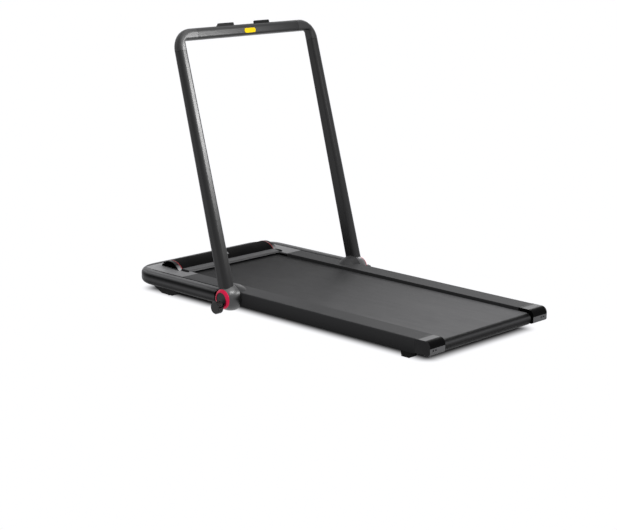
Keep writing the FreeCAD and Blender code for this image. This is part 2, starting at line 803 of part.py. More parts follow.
def electrics():
    """Control box with its board, and the mains inlet with a rocker switch."""
    right = -s.motor_left - 20
    left = right - s.control_length
    front = beam_front - 12
    rear = front - s.control_depth
    low = s.beam_bottom
    high = low + s.control_height
    tray = cut(box((left, right), (rear, front), (low, high)),
               box((left + 2, right - 2), (rear + 2, front - 2), (low + 2, high + 1)))
    posts = [rod(3, low + 1, low + 6, (x, y), "z")
             for x in (left + 10, right - 10) for y in (rear + 10, front - 10)]
    node("control_box", fuse(tray, *posts))
    board = low + 6
    parts = [box((left + 5, right - 5), (rear + 5, front - 5), (board, board + 1.6)),
             box((left + 20, left + 50), (rear + 12, front - 12), (board + 1, high - 4))]
    for place in (0.5, 0.64, 0.78):
        centre = (left + s.control_length * place, (rear + front) / 2)
        parts.append(rod(8, board + 1, high - 6, centre, "z"))
    node("control_board", fuse(*parts))

    face = front_end - s.inlet_recess
    middle = s.hinge_height
    gap = 0.2
    x0, x1 = s.inlet_left + gap, s.inlet_left + s.inlet_width - gap
    half = s.inlet_height / 2 - gap
    socket = s.inlet_left + 10
    rocker = s.inlet_left + s.inlet_width - 8 - s.rocker_width
    deep = face - s.socket_depth - 6
    plate = box((x0, x1), (face - 4, face), (middle - half, middle + half))
    cup = box((socket - 3, socket + s.socket_width + 3), (deep, face - 3),
              (middle - s.socket_height / 2 - 3, middle + s.socket_height / 2 + 3))
    frame_box = box((rocker - 3, rocker + s.rocker_width + 3), (deep, face - 3),
                    (middle - s.rocker_height / 2 - 3.5, middle + s.rocker_height / 2 + 3.5))
    hollow = box((socket, socket + s.socket_width), (face - s.socket_depth, face + 5),
                 (middle - s.socket_height / 2, middle + s.socket_height / 2))
    room = box((rocker - 0.4, rocker + s.rocker_width + 0.4), (face - s.socket_depth, face + 5),
               (middle - s.rocker_height / 2 - 1, middle + s.rocker_height / 2 + 1))
    blades = []
    for place, lift in ((0.25, -2.0), (0.5, 2.0), (0.75, -2.0)):
        x = socket + s.socket_width * place
        blades.append(box((x - 1, x + 1), (face - s.socket_depth - 1, face - 4),
                          (middle + lift - 2, middle + lift + 2)))
    pivot = (rocker - 1.5, rocker + s.rocker_width + 1.5)
    pivot_hole = rod(s.rocker_pin_radius + s.fit_clearance, *pivot, (face - 8, middle))
    node("power_inlet", fuse(cut(fuse(plate, cup, frame_box), hollow, room, pivot_hole), *blades))
    key = box((rocker, rocker + s.rocker_width), (-5, 9), (-s.rocker_height / 2, s.rocker_height / 2))
    holder = fuse(key, rod(s.rocker_pin_radius, pivot[0] + 0.3, pivot[1] - 0.3, (0, 0)))
    node("power_rocker", turn_about_x(move(holder, 0, face - 8, middle), -s.rocker_tilt))


def wheels():
    y = front_end - s.wheel_setback
    z = s.wheel_radius
    half = s.wheel_bracket_width / 2
    low_x, high_x = wheel_x - half, wheel_x + half
    top = s.hinge_height - s.bumper_height / 2
    room = s.wheel_width / 2 + 0.8
    reach_y = s.wheel_radius + 2
    back, front = y - reach_y, y + reach_y
    side = [(back - s.bracket_rear_top, top), (back - s.bracket_rear_low, s.bracket_chin),
            (back - s.bracket_rear_sole, s.bracket_floor_gap),
            (front + s.bracket_front_sole, s.bracket_floor_gap), (front + s.bracket_front_top, top)]
    fork = cut(prism("YZ", low_x, high_x, side),
               box((wheel_x - room, wheel_x + room), (back, front), (-1, top + 5)),
               rod(s.wheel_axle_radius + s.fit_clearance, low_x - 1, high_x + 1, (y, z)))
    twins("wheel_brackets", fork)
    twins("wheel_axles", rod(s.wheel_axle_radius, low_x + 0.5, high_x - 0.5, (y, z)))
    wide = s.wheel_width / 2
    bore = s.wheel_axle_radius + 2 * s.fit_clearance
    round_edge = 2.0
    left, right = wheel_x - wide, wheel_x + wide
    tyre = spun([(left, bore), (left, z - round_edge, round_edge, -1), (left + round_edge, z),
                 (right - round_edge, z, round_edge, -1), (right, z - round_edge), (right, bore)])
    pair("wheel", move(tyre, 0, y, z))


def hinges():
    """Fixed hinge blocks, shafts with slotted stop discs and domes; and the barrels that turn on them."""
    half = s.hinge_block_half
    block = box((beam_out, rail_out - s.rail_wall - 0.2), (hinge_y - half, hinge_y + half),
                (s.beam_bottom, s.rail_top - s.rail_wall - 2))
    hole = rod(s.shaft_radius + s.fit_clearance, beam_out - 5, rail_out, (hinge_y, s.hinge_height))
    twins("hinge_blocks", cut(block, hole))

    disc_x = barrel_in + s.barrel_length - 15
    disc_end = disc_x + s.stop_disc_thickness
    bar = spun([(beam_in + 4, 0), (beam_in + 4, s.shaft_radius), (disc_x, s.shaft_radius),
                (disc_x, s.stop_disc_radius), (disc_end, s.stop_disc_radius), (disc_end, 0)])
    groove = s.knob_stem_radius + 0.4
    middle = s.knob_offset
    ends = (disc_x - 1, disc_end + 1)
    sweep = 90 + s.handrail_lean
    sector = rod(middle + groove, *ends, (0, 0))
    sector.Placement = FreeCAD.Placement(Vector(), FreeCAD.Rotation(Vector(1, 1, 1), 120))
    bind(sector, "Placement.Base.x", ends[0])
    bind(sector, "Angle", sweep)
    arc = cut(sector, rod(middle - groove, *ends, (0, 0)))
    start_hole = rod(groove, *ends, (middle, 0))
    last_hole = rod(groove, *ends, (middle * cosine(sweep), middle * sine(sweep)))
    slot = turn_about_x(fuse(arc, start_hole, last_hole), 270 - s.handrail_lean)
    twins("hinge_shafts", at_hinge(cut(bar, slot)))

    tip = rail_out - s.dome_length
    wall = 3.0
    bulge = s.dome_length * 1.4
    dome = spun([(rail_out, s.barrel_radius - wall), (rail_out, s.barrel_radius, bulge, 1),
                 (tip, s.dome_tip_radius), (tip + wall, s.dome_tip_radius, bulge, -1)])
    above = box((tip - 5, rail_out + 5), (hinge_y - 60, hinge_y + 60), (s.rail_top, s.rail_top + 60))
    pair("hinge_dome", overlap(at_hinge(dome), above))

    bush = s.shaft_radius + s.bush_wall
    bore = bush + s.fit_clearance
    room = s.stop_disc_radius + 1
    seat = s.barrel_end_radius - s.ring_width
    cavity = disc_x - 2
    shelf = disc_end + 5
    bulge = s.barrel_length * 1.7
    outside = [(barrel_in, s.barrel_radius, bulge, -1), (barrel_out, s.barrel_end_radius)]
    barrel = spun([(barrel_in, bore), *outside, (barrel_out, seat), (shelf, seat), (shelf, room),
                   (cavity, room), (cavity, bore)])
    ring_end = barrel_out + s.ring_thickness

    def stem_hole():
        return rod(s.knob_stem_radius + s.fit_clearance, shelf - 1, ring_end + 1, (0, -s.knob_offset))

    spigot = box((arm_middle - 10, arm_middle + 9), (-14, 14),
                 (s.barrel_end_radius - 1, s.barrel_radius + 50))
    pair("hinge_barrel", on_handrail(cut(fuse(barrel, spigot), stem_hole())))
    turning = s.shaft_radius + s.fit_clearance
    twins("hinge_bushes", on_handrail(spun([(barrel_in + 0.5, turning), (barrel_in + 0.5, bush),
                                            (cavity, bush), (cavity, turning)])))
    cap = rod(seat - s.fit_clearance, shelf, ring_end - s.ring_land, (0, 0))
    twins("hinge_caps", on_handrail(cut(cap, stem_hole())))
    inner, outer = seat + 0.3, s.barrel_end_radius + 0.5
    ring = spun([(barrel_out, inner), (barrel_out, outer), (barrel_out + s.ring_land, outer, s.ring_bulge, -1),
                 (ring_end, inner + s.ring_land), (ring_end, inner)])
    twins("hinge_rings", on_handrail(cut(ring, stem_hole())))
    return [(barrel_in, 0), *outside, (barrel_out, 0)], disc_x


def knobs(disc_x):
    """Fluted clamp knobs whose stems reach through the end discs into the stop slots."""
    hub = barrel_out + s.ring_thickness + 1
    head = barrel_out + 2 + s.knob_standoff
    end = head + s.knob_thickness
    radius, stem = s.knob_radius, s.knob_stem_radius
    knob = spun([(disc_x + 2, 0), (disc_x + 2, stem), (hub, stem), (hub, stem + 4), (head, stem + 4),
                 (head, radius - 1.5), (head + 1.5, radius), (end - 2, radius), (end, radius - 2), (end, 0)])
    sketch = add_sketch(knob, "YZ", head - 1)
    flute = sketch.addGeometry(Part.Circle(Vector(0, radius.value, 0), Vector(0, 0, 1), 1), False)
    constrain(sketch, s.flute_radius, "Radius", flute)
    constrain(sketch, 0, "DistanceX", -1, 1, flute, 3)
    constrain(sketch, radius + s.flute_radius / 2, "DistanceY", -1, 1, flute, 3)
    pocket = knob.newObject("PartDesign::Pocket", "flute")
    pocket.Profile = sketch
    pocket.Reversed = True
    bind(pocket, "Length", s.knob_thickness + 2)
    ring = knob.newObject("PartDesign::PolarPattern", "flutes")
    ring.Originals = [pocket]
    ring.Axis = (sketch, ["N_Axis"])
    ring.Angle = 360
    ring.Occurrences = KNOB_FLUTES
    knob.Tip = ring
    move(knob, 0, hinge_y - s.knob_offset * sine(s.handrail_lean),
         s.hinge_height - s.knob_offset * cosine(s.handrail_lean))
    pair("knob", turn_about_x(knob, -s.handrail_lean))


def arm_section(out, depth, inset):
    return rounded((arm_in + inset, out - inset), (-depth / 2 + inset, depth / 2 - inset),
                   s.arm_inner_round - inset / 2, s.arm_outer_round - inset)


def handrail(barrel_outline):
    """Tapered arms, swept elbows and the crossbar with its slot, tabs and button."""
    top = reach - s.elbow_reach
    arm = new_body()
    for kind, inset in (("PartDesign::AdditiveLoft", as_size(0)),
                        ("PartDesign::SubtractiveLoft", s.tube_wall)):
        lower = add_sketch(arm, "XY", s.barrel_radius / 3, arm_section(arm_out, s.arm_depth, inset))
        upper = add_sketch(arm, "XY", top, arm_section(arm_top_out, s.arm_top_depth, inset))
        loft = arm.newObject(kind, "loft")
        loft.Profile = lower
        loft.Sections = [upper]
    pair("arm", on_handrail(cut(arm, spun(barrel_outline))))

    half = s.arm_width / 2
    depth = s.arm_top_depth / 2
    end = arm_middle - s.elbow_bar_reach
    line = s.elbow_seam
    bend = s.elbow_radius + half
    inside = s.elbow_inner_radius
    low, high = reach - half, reach + half
    elbow = prism("XZ", -depth, depth, [
        (arm_in, top + line), (arm_top_out, top + line), (arm_top_out, high - bend, bend, 1),
        (arm_top_out - bend, high), (end + line, high), (end + line, low),
        (arm_in - inside, low, inside, -1), (arm_in, low - inside)])
    turn = math.sqrt(0.5)
    round_edges(elbow, s.arm_outer_round, [
        (arm_top_out - bend * (1 - turn), y, high - bend * (1 - turn)) for y in (-depth, depth)])
    round_edges(elbow, s.arm_inner_round, [
        (arm_in - inside * (1 - turn), y, low - inside * (1 - turn)) for y in (-depth, depth)])
    seated = s.tube_wall + s.spigot_gap
    deep = (-s.spigot_half_depth, s.spigot_half_depth)
    into_arm = box((arm_in + seated, arm_top_out - 10), deep, (top - s.spigot_length, top + 5))
    into_bar = box((end - s.spigot_length, end + 5), deep, (low + seated, reach + 7))
    pair("elbow", on_handrail(fuse(elbow, into_arm, into_bar)))

    def bar_section(inset):
        return swapped(rounded((reach - half + inset, reach + half - inset), (-depth + inset, depth - inset),
                               s.arm_inner_round - inset / 2, s.arm_outer_round - inset))

    bar = prism("YZ", -end, end, bar_section(as_size(0)), bar_section(s.tube_wall))
    wide = s.slot_width / 2
    curve = wide * 0.8

    def slot_outline(inset):
        return rounded((-s.slot_left + inset, s.slot_right - inset), (-wide + inset, wide - inset),
                       curve - inset, curve - inset)

    slot = prism("XY", reach + half / 2, reach + half + 5, slot_outline(as_size(0)))
    across, tall = s.button_width / 2, s.button_height / 2
    corner = tall * 0.8

    def button_outline(inset):
        middle = reach - s.button_drop
        return rounded((-across + inset, across - inset), (middle - tall + inset, middle + tall - inset),
                       corner, corner)

    pocket = prism("XZ", -depth - 5, -depth + s.tube_wall + 3, button_outline(-0.3))
    node("crossbar", on_handrail(cut(bar, slot, pocket)))
    back = s.button_proud - s.button_depth
    push = prism("XZ", -depth - s.button_proud, -depth - back, button_outline(as_size(0)))
    node("start_button", on_handrail(push))

    play = 0.2
    rim = reach + half - 1
    shell = prism("XY", rim - s.slot_depth, rim, slot_outline(play))
    hollow = prism("XY", rim - s.slot_depth + s.slot_wall, rim + 2, slot_outline(play + s.slot_wall))
    pin_y, pin_z = wide - play - s.slot_wall - s.tab_thickness / 2 - 0.5, reach + half - s.tab_sink
    rise = pin_y + s.tab_pin_radius - (wide - curve)
    pin_inset = curve - root(curve * curve - rise * rise) + 2 * play
    pin = (-s.slot_left + pin_inset, s.slot_right - pin_inset)
    pin_hole = rod(s.tab_pin_radius + s.fit_clearance, -s.slot_left - 1, s.slot_right + 1, (pin_y, pin_z))
    node("holder_tray", on_handrail(cut(shell, hollow, pin_hole)))
    node("holder_pin", on_handrail(group(rod(s.tab_pin_radius, *pin, (pin_y, pin_z)))))
    thick = s.tab_thickness / 2
    limits = {
        "tab_left": (-s.slot_left + s.tab_end_gap, -s.slot_left + s.tab_end_gap + s.left_tab_width),
        "tab_right": (s.slot_right - s.tab_end_gap - s.right_tab_width, s.slot_right - s.tab_end_gap),
    }
    for label, (low, high) in limits.items():
        slant = s.tab_slant if label == "tab_left" else as_size(0)
        top = pin_z + s.tab_height
        curve = s.tab_round
        leaf = prism("XZ", pin_y - thick, pin_y + thick, [
            (low, pin_z), (high, pin_z), (high, top - curve, curve, 1), (high - curve, top),
            (low + slant + curve, top, curve, 1), (low + slant, top - curve)])
        knuckle = rod(thick, low, high, (pin_y, pin_z))
        bore = rod(s.tab_pin_radius + s.fit_clearance, low - 1, high + 1, (pin_y, pin_z))
        node(label, on_handrail(cut(fuse(leaf, knuckle), bore)))


frame()
deck_and_belt()
rollers()
side_covers()
front_cover()
bumper()
drive()
electrics()
wheels()
barrel_outline, stop_x = hinges()
knobs(stop_x)
handrail(barrel_outline)
doc.recompute()

for thing in doc.Objects:
    if "Invalid" in thing.State or "Error" in thing.State:
        raise RuntimeError(f"{thing.Label} could not be built")
os.makedirs("parts", exist_ok=True)
for label, thing in NODES.items():
    if thing.Shape.isNull() or not thing.Shape.isValid():
        raise RuntimeError(f"{label} has no valid shape")
    thing.Shape.exportStep(f"parts/{label}.step")
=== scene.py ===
"""Walking pad with a folding handrail: finishes for every CAD piece, small fittings, studio and camera."""

import json
import math

import bmesh
import bpy
from mathutils import Matrix, Vector


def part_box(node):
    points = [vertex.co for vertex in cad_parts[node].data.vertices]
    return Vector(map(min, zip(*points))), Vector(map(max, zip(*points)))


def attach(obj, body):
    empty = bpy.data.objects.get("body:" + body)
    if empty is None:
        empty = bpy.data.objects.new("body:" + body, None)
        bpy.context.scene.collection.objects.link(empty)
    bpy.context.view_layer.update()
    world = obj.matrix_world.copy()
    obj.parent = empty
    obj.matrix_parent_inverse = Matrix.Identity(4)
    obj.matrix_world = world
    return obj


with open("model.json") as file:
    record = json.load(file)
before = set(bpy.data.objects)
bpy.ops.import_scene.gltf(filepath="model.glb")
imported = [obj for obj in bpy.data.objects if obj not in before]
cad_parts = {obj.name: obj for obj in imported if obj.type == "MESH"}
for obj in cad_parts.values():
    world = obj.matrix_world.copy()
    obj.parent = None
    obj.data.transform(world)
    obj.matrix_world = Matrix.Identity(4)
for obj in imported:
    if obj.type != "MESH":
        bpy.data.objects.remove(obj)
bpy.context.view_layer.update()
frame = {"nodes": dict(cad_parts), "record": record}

scene = bpy.context.scene
pad_nodes = frame["nodes"]

# Camera: fitted to the raised pad in the photograph, for an image of 617 by 530 pixels.
CAMERA_PLACE = Vector((-3.7100, -3.5069, 1.3800))
CAMERA_YAW, CAMERA_PITCH, CAMERA_ROLL = 0.797349, 0.238281, 0.006346
IMAGE_WIDTH, FOCAL_PIXELS, SENSOR_WIDTH = 617, 1586.57, 36.0
VIEW_DEPTH = 60

# Studio: where each soft lamp hangs, what it points at, its size, its power and the angle it spreads over.
SOFT_LAMPS = {
    "overhead_softbox": {
        "place": (0.0, 0.2, 3.0), "target": (0, 0, 0), "size": (2.2, 2.2), "power": 24, "spread": 180},
    "key_softbox": {
        "place": (-0.2, -1.6, 2.8), "target": (0, 0, 0), "size": (0.9, 0.9), "power": 42, "spread": 180},
    "handrail_softbox": {
        "place": (0.43, -0.75, 1.06), "target": (-0.42, 0.36, 0.66), "size": (0.5, 0.5), "power": 4.4,
        "spread": 46},
    "far_softbox": {
        "place": (4.8, 2.7, 2.3), "target": (0, -0.4, 0), "size": (2.0, 1.5), "power": 62, "spread": 180},
}
SKY_LIGHT = 0.25

# Floor: half its width, its grey under the pad, painted darker than the white to deepen the pad's shadow,
# and the share of light that its white part gives back. The grey, with the pad's shadow on it, fades into
# plain white over a strip inside the pad's outline, from the inset to the reach.
FLOOR_HALF = 9.0
FLOOR_SHADE = 0.60
FLOOR_BOUNCE = 0.5
SHADOW_INSET, SHADOW_REACH = 0.066, -0.002

# Places on the pad that zoned finishes, painted light and shade among them, and small fittings follow, in
# metres.
RAIL_LOW, RAIL_TOP = (corner.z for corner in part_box("side_rail_left"))
TOP_FACE = RAIL_TOP - 0.0013
CAP_LOW, CAP_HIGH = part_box("rear_cap_right")
CAP_INNER_WALL, CAP_OUTER_WALL = CAP_LOW.x + 0.0008, CAP_HIGH.x - 0.0008
CAP_PLATE_FRONT = CAP_HIGH.y - 0.013
CAP_BAND_FRONT = CAP_LOW.y + 0.020
CAP_BAND_LOW = 0.050
BUMPER_LOW, BUMPER_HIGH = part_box("front_bumper")
BUMPER_CORNER = 0.080
HOOD_LOW, HOOD_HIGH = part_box("hood")
HOOD_WALL = 0.003
BELT_LOW, BELT_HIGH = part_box("walking_belt")
PANEL_LOW, PANEL_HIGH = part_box("front_panel")

# Half the width of the step between two tones.
EDGE = 0.0004


# Node helpers

def add_node(tree, kind, inputs=None, **settings):
    """A new node; inputs maps socket names or numbers to values or to other nodes' sockets."""
    node = tree.nodes.new(kind)
    for name, value in settings.items():
        setattr(node, name, value)
    for key, value in (inputs or {}).items():
        if isinstance(value, bpy.types.NodeSocket):
            tree.links.new(value, node.inputs[key])
        else:
            node.inputs[key].default_value = value
    return node


def math_node(tree, operation, first, second=0.0):
    return add_node(tree, "ShaderNodeMath", {0: first, 1: second}, operation=operation).outputs[0]


def vector_node(tree, operation, first, second=(0, 0, 0)):
    return add_node(tree, "ShaderNodeVectorMath", {0: first, 1: second}, operation=operation).outputs


# The sockets of a mix node that take colours, by number: those for floats and vectors have the same names.
MIX_FACTOR, MIX_FIRST, MIX_SECOND, MIX_RESULT = 0, 6, 7, 2


def blend_colours(tree, factor, first, second):
    inputs = {MIX_FACTOR: factor, MIX_FIRST: first, MIX_SECOND: second}
    return add_node(tree, "ShaderNodeMix", inputs, data_type="RGBA").outputs[MIX_RESULT]


def remap(tree, value, low, high, start=0.0, end=1.0, ease="LINEAR"):
    """Carries value from the range start..end to the range low..high."""
    limits = {"Value": value, "From Min": start, "From Max": end, "To Min": low, "To Max": high}
    return add_node(tree, "ShaderNodeMapRange", limits, interpolation_type=ease).outputs["Result"]


def beyond(tree, value, edge):
    """1 where value is over the edge, 0 where it is under, with a short soft step between."""
    return remap(tree, value, 0.0, 1.0, start=edge - EDGE, end=edge + EDGE)


def short_of(tree, value, edge):
    """1 where value is under the edge, 0 where it is over."""
    return remap(tree, value, 1.0, 0.0, start=edge - EDGE, end=edge + EDGE)


def both(tree, first, second):
    return math_node(tree, "MULTIPLY", first, second)


def object_place(tree):
    return add_node(tree, "ShaderNodeTexCoord").outputs["Object"]


def place_axes(tree):
    """The X, Y and Z of the point being shaded, in the pad's own frame."""
    return add_node(tree, "ShaderNodeSeparateXYZ", {0: object_place(tree)}).outputs


def facing_axes(tree):
    """The X, Y and Z of the way the surface faces."""
    normal = add_node(tree, "ShaderNodeNewGeometry").outputs["Normal"]
    return add_node(tree, "ShaderNodeSeparateXYZ", {0: normal}).outputs


def grey(level):
    """A faintly bluish grey."""
    return (level, level, level * 1.02, 1.0)


def tinted(colour, factor):
    return tuple(min(channel * factor, 1.0) for channel in colour[:3]) + (1.0,)


# Effects that several finishes share

def new_effect(name, inputs, outputs):
    """An empty shader group with float inputs and outputs; returns it with its two end nodes."""
    tree = bpy.data.node_groups.new(name, "ShaderNodeTree")
    for socket, value in inputs.items():
        made = tree.interface.new_socket(socket, in_out="INPUT", socket_type="NodeSocketFloat")
        made.default_value = value
    for socket in outputs:
        tree.interface.new_socket(socket, in_out="OUTPUT", socket_type="NodeSocketFloat")
    return tree, tree.nodes.new("NodeGroupInput"), tree.nodes.new("NodeGroupOutput")


def tone_drift_effect():
    """Slow change of tone over a surface, as paint and plastic show under soft light."""
    tree, start, end = new_effect("tone_drift", {"Scale": 11.0, "Contrast": 1.6}, ["Tone"])
    cloud = add_node(tree, "ShaderNodeTexNoise", {
        "Vector": object_place(tree), "Scale": start.outputs["Scale"], "Detail": 4.0, "Roughness": 0.55})
    centred = math_node(tree, "SUBTRACT", cloud.outputs["Fac"], 0.5)
    spread = math_node(tree, "MULTIPLY", centred, start.outputs["Contrast"])
    tone = math_node(tree, "ADD", spread, 0.5)
    tree.links.new(add_node(tree, "ShaderNodeClamp", {"Value": tone}).outputs[0], end.inputs["Tone"])
    return tree


def moulded_grain_effect():
    """The fine spark-eroded grain of a moulding tool: small cells with softer noise over them."""
    tree, start, end = new_effect("moulded_grain", {"Scale": 900.0, "Softness": 0.5}, ["Height"])
    place = object_place(tree)
    cells = add_node(tree, "ShaderNodeTexVoronoi", {
        "Vector": place, "Scale": start.outputs["Scale"]}, feature="SMOOTH_F1")
    coarser = math_node(tree, "MULTIPLY", start.outputs["Scale"], 0.6)
    noise = add_node(tree, "ShaderNodeTexNoise", {"Vector": place, "Scale": coarser, "Detail": 2.0})
    rest = math_node(tree, "SUBTRACT", 1.0, start.outputs["Softness"])
    rough = math_node(tree, "MULTIPLY", cells.outputs["Distance"], rest)
    soft = math_node(tree, "MULTIPLY", noise.outputs["Fac"], start.outputs["Softness"])
    tree.links.new(math_node(tree, "ADD", rough, soft), end.inputs["Height"])
    return tree


def drawn_lines_effect():
    """Fine lines left along a drawn or brushed piece; the low value of the three is the way they run."""
    tree, start, end = new_effect(
        "drawn_lines", {"Along X": 1500.0, "Along Y": 12.0, "Along Z": 1500.0}, ["Lines"])
    scale = add_node(tree, "ShaderNodeCombineXYZ", {
        "X": start.outputs["Along X"], "Y": start.outputs["Along Y"], "Z": start.outputs["Along Z"]})
    place = vector_node(tree, "MULTIPLY", object_place(tree), scale.outputs[0])
    lines = add_node(tree, "ShaderNodeTexNoise", {
        "Vector": place[0], "Scale": 1.0, "Detail": 3.0, "Roughness": 0.6})
    tree.links.new(lines.outputs["Fac"], end.inputs["Lines"])
    return tree


def settled_dust_effect():
    """A thin uneven film on faces that look up."""
    tree, start, end = new_effect("settled_dust", {"Amount": 0.3, "Scale": 24.0}, ["Mask"])
    facing_up = remap(tree, facing_axes(tree)["Z"], 0.0, 1.0, start=0.35, end=0.95)
    cloud = add_node(tree, "ShaderNodeTexNoise", {
        "Vector": object_place(tree), "Scale": start.outputs["Scale"], "Detail": 5.0, "Roughness": 0.65})
    patches = remap(tree, cloud.outputs["Fac"], 0.2, 1.0, start=0.35, end=0.7)
    film = both(tree, facing_up, patches)
    tree.links.new(math_node(tree, "MULTIPLY", film, start.outputs["Amount"]), end.inputs["Mask"])
    return tree


def handling_marks_effect():
    """Sparse hair-thin scuffs that dull the gloss."""
    tree, start, end = new_effect("handling_marks", {"Scale": 30.0, "Amount": 0.4}, ["Mask"])
    place = add_node(tree, "ShaderNodeMapping", {
        "Vector": object_place(tree), "Rotation": (0.4, 0.9, 0.6), "Scale": (1.0, 6.0, 2.2)})
    cracks = add_node(tree, "ShaderNodeTexVoronoi", {
        "Vector": place.outputs[0], "Scale": start.outputs["Scale"]}, feature="DISTANCE_TO_EDGE")
    thin = remap(tree, cracks.outputs["Distance"], 1.0, 0.0, start=0.0, end=0.012)
    cloud = add_node(tree, "ShaderNodeTexNoise", {"Vector": object_place(tree), "Scale": 14.0})
    rare = remap(tree, cloud.outputs["Fac"], 0.0, 1.0, start=0.52, end=0.66)
    marks = both(tree, thin, rare)
    tree.links.new(math_node(tree, "MULTIPLY", marks, start.outputs["Amount"]), end.inputs["Mask"])
    return tree


EFFECTS = {
    "tone_drift": tone_drift_effect(),
    "moulded_grain": moulded_grain_effect(),
    "drawn_lines": drawn_lines_effect(),
    "settled_dust": settled_dust_effect(),
    "handling_marks": handling_marks_effect(),
}


def use_effect(tree, name, **values):
    """Places a shared effect in a material, with its own values, and returns its output."""
    node = tree.nodes.new("ShaderNodeGroup")
    node.node_tree = EFFECTS[name]
    for socket, value in values.items():
        node.inputs[socket.replace("_", " ")].default_value = value
    return node.outputs[0]


# Finishes

# The shares by which tone and gloss wander over a surface, the roughness of a scuff and the colour of dust.
TONE_DRIFT = 0.12
GLOSS_WANDER = 0.12
SCUFF_ROUGHNESS = 0.18
DUST_GREY = grey(0.30)


def new_material(name):
    material = bpy.data.materials.new(name)
    material.use_nodes = True
    tree = material.node_tree
    return material, tree, tree.nodes["Principled BSDF"]


def raise_surface(tree, shader, height, depth):
    """Bump of about the given depth, in metres."""
    bump = add_node(tree, "ShaderNodeBump", {"Height": height, "Distance": depth, "Strength": 1.0})
    tree.links.new(bump.outputs["Normal"], shader.inputs["Normal"])


def set_plain(shader, **values):
    """Values that are the same all over the surface, set on the shader's own sockets."""
    for name, value in values.items():
        shader.inputs[name.replace("_", " ")].default_value = value


def set_varied(tree, shader, **sockets):
    """Values that change over the surface, linked to the shader's sockets."""
    for name, socket in sockets.items():
        tree.links.new(socket, shader.inputs[name.replace("_", " ")])


def mottled(tree, tone, low, high):
    """Grey that wanders between two levels with the tone."""
    return blend_colours(tree, tone, grey(low), grey(high))


def dusty(tree, colour, amount, dust=DUST_GREY, **values):
    """The colour under a thin film of settled dust."""
    film = use_effect(tree, "settled_dust", Amount=amount, **values)
    return blend_colours(tree, film, colour, dust)


def uneven_gloss(tree, shader, tone, gloss, marks):
    """Roughness that wanders with the tone and rises on scuffs."""
    scuffs = use_effect(tree, "handling_marks", Amount=marks)
    wander = remap(tree, tone, gloss * (1 - GLOSS_WANDER), min(gloss * (1 + GLOSS_WANDER), 1.0))
    rise = math_node(tree, "MULTIPLY", scuffs, SCUFF_ROUGHNESS)
    set_varied(tree, shader, Roughness=math_node(tree, "ADD", wander, rise))


def finish(name, colour, gloss, drift=TONE_DRIFT, grain=None, lines=None, dust=0.03, marks=0.3, **plain):
    """A painted, moulded or metal finish.

    gloss is the middle roughness; drift is the share by which the colour wanders; grain is (cells per
    metre, depth); lines is (X, Y, Z stretch, depth); plain is set on the shader's own sockets.
    """
    material, tree, shader = new_material(name)
    tone = use_effect(tree, "tone_drift")
    body = blend_colours(tree, tone, tinted(colour, 1 - drift), tinted(colour, 1 + drift))
    set_varied(tree, shader, Base_Color=dusty(tree, body, dust))
    uneven_gloss(tree, shader, tone, gloss, marks)
    if grain:
        cells, depth = grain
        raise_surface(tree, shader, use_effect(tree, "moulded_grain", Scale=cells), depth)
    elif lines:
        along_x, along_y, along_z, depth = lines
        streaks = use_effect(tree, "drawn_lines", Along_X=along_x, Along_Y=along_y, Along_Z=along_z)
        raise_surface(tree, shader, streaks, depth)
    set_plain(shader, **plain)
    return material


def height_bands(tree, low, high, bands):
    """Grey that changes with height; bands is a list of (share of the height, level)."""
    height = remap(tree, place_axes(tree)["Z"], 0.0, 1.0, start=low, end=high)
    ramp = add_node(tree, "ShaderNodeValToRGB", {"Fac": height})
    stops = ramp.color_ramp.elements
    while len(stops) < len(bands):
        stops.new(1.0)
    for stop, (position, level) in zip(stops, bands):
        stop.position = position
        stop.color = grey(level)
    return ramp.outputs["Color"]


LATTICE_ANGLE = math.radians(38)
# Greys by share of the belt's height where it turns: a painted highlight at 0.72, painted shade on either
# side of it.
ROLL_PAINTED_LIGHT_BANDS = ((0.0, 0.012), (0.28, 0.002), (0.50, 0.012), (0.72, 0.075), (0.86, 0.004), (1.0, 0.010))


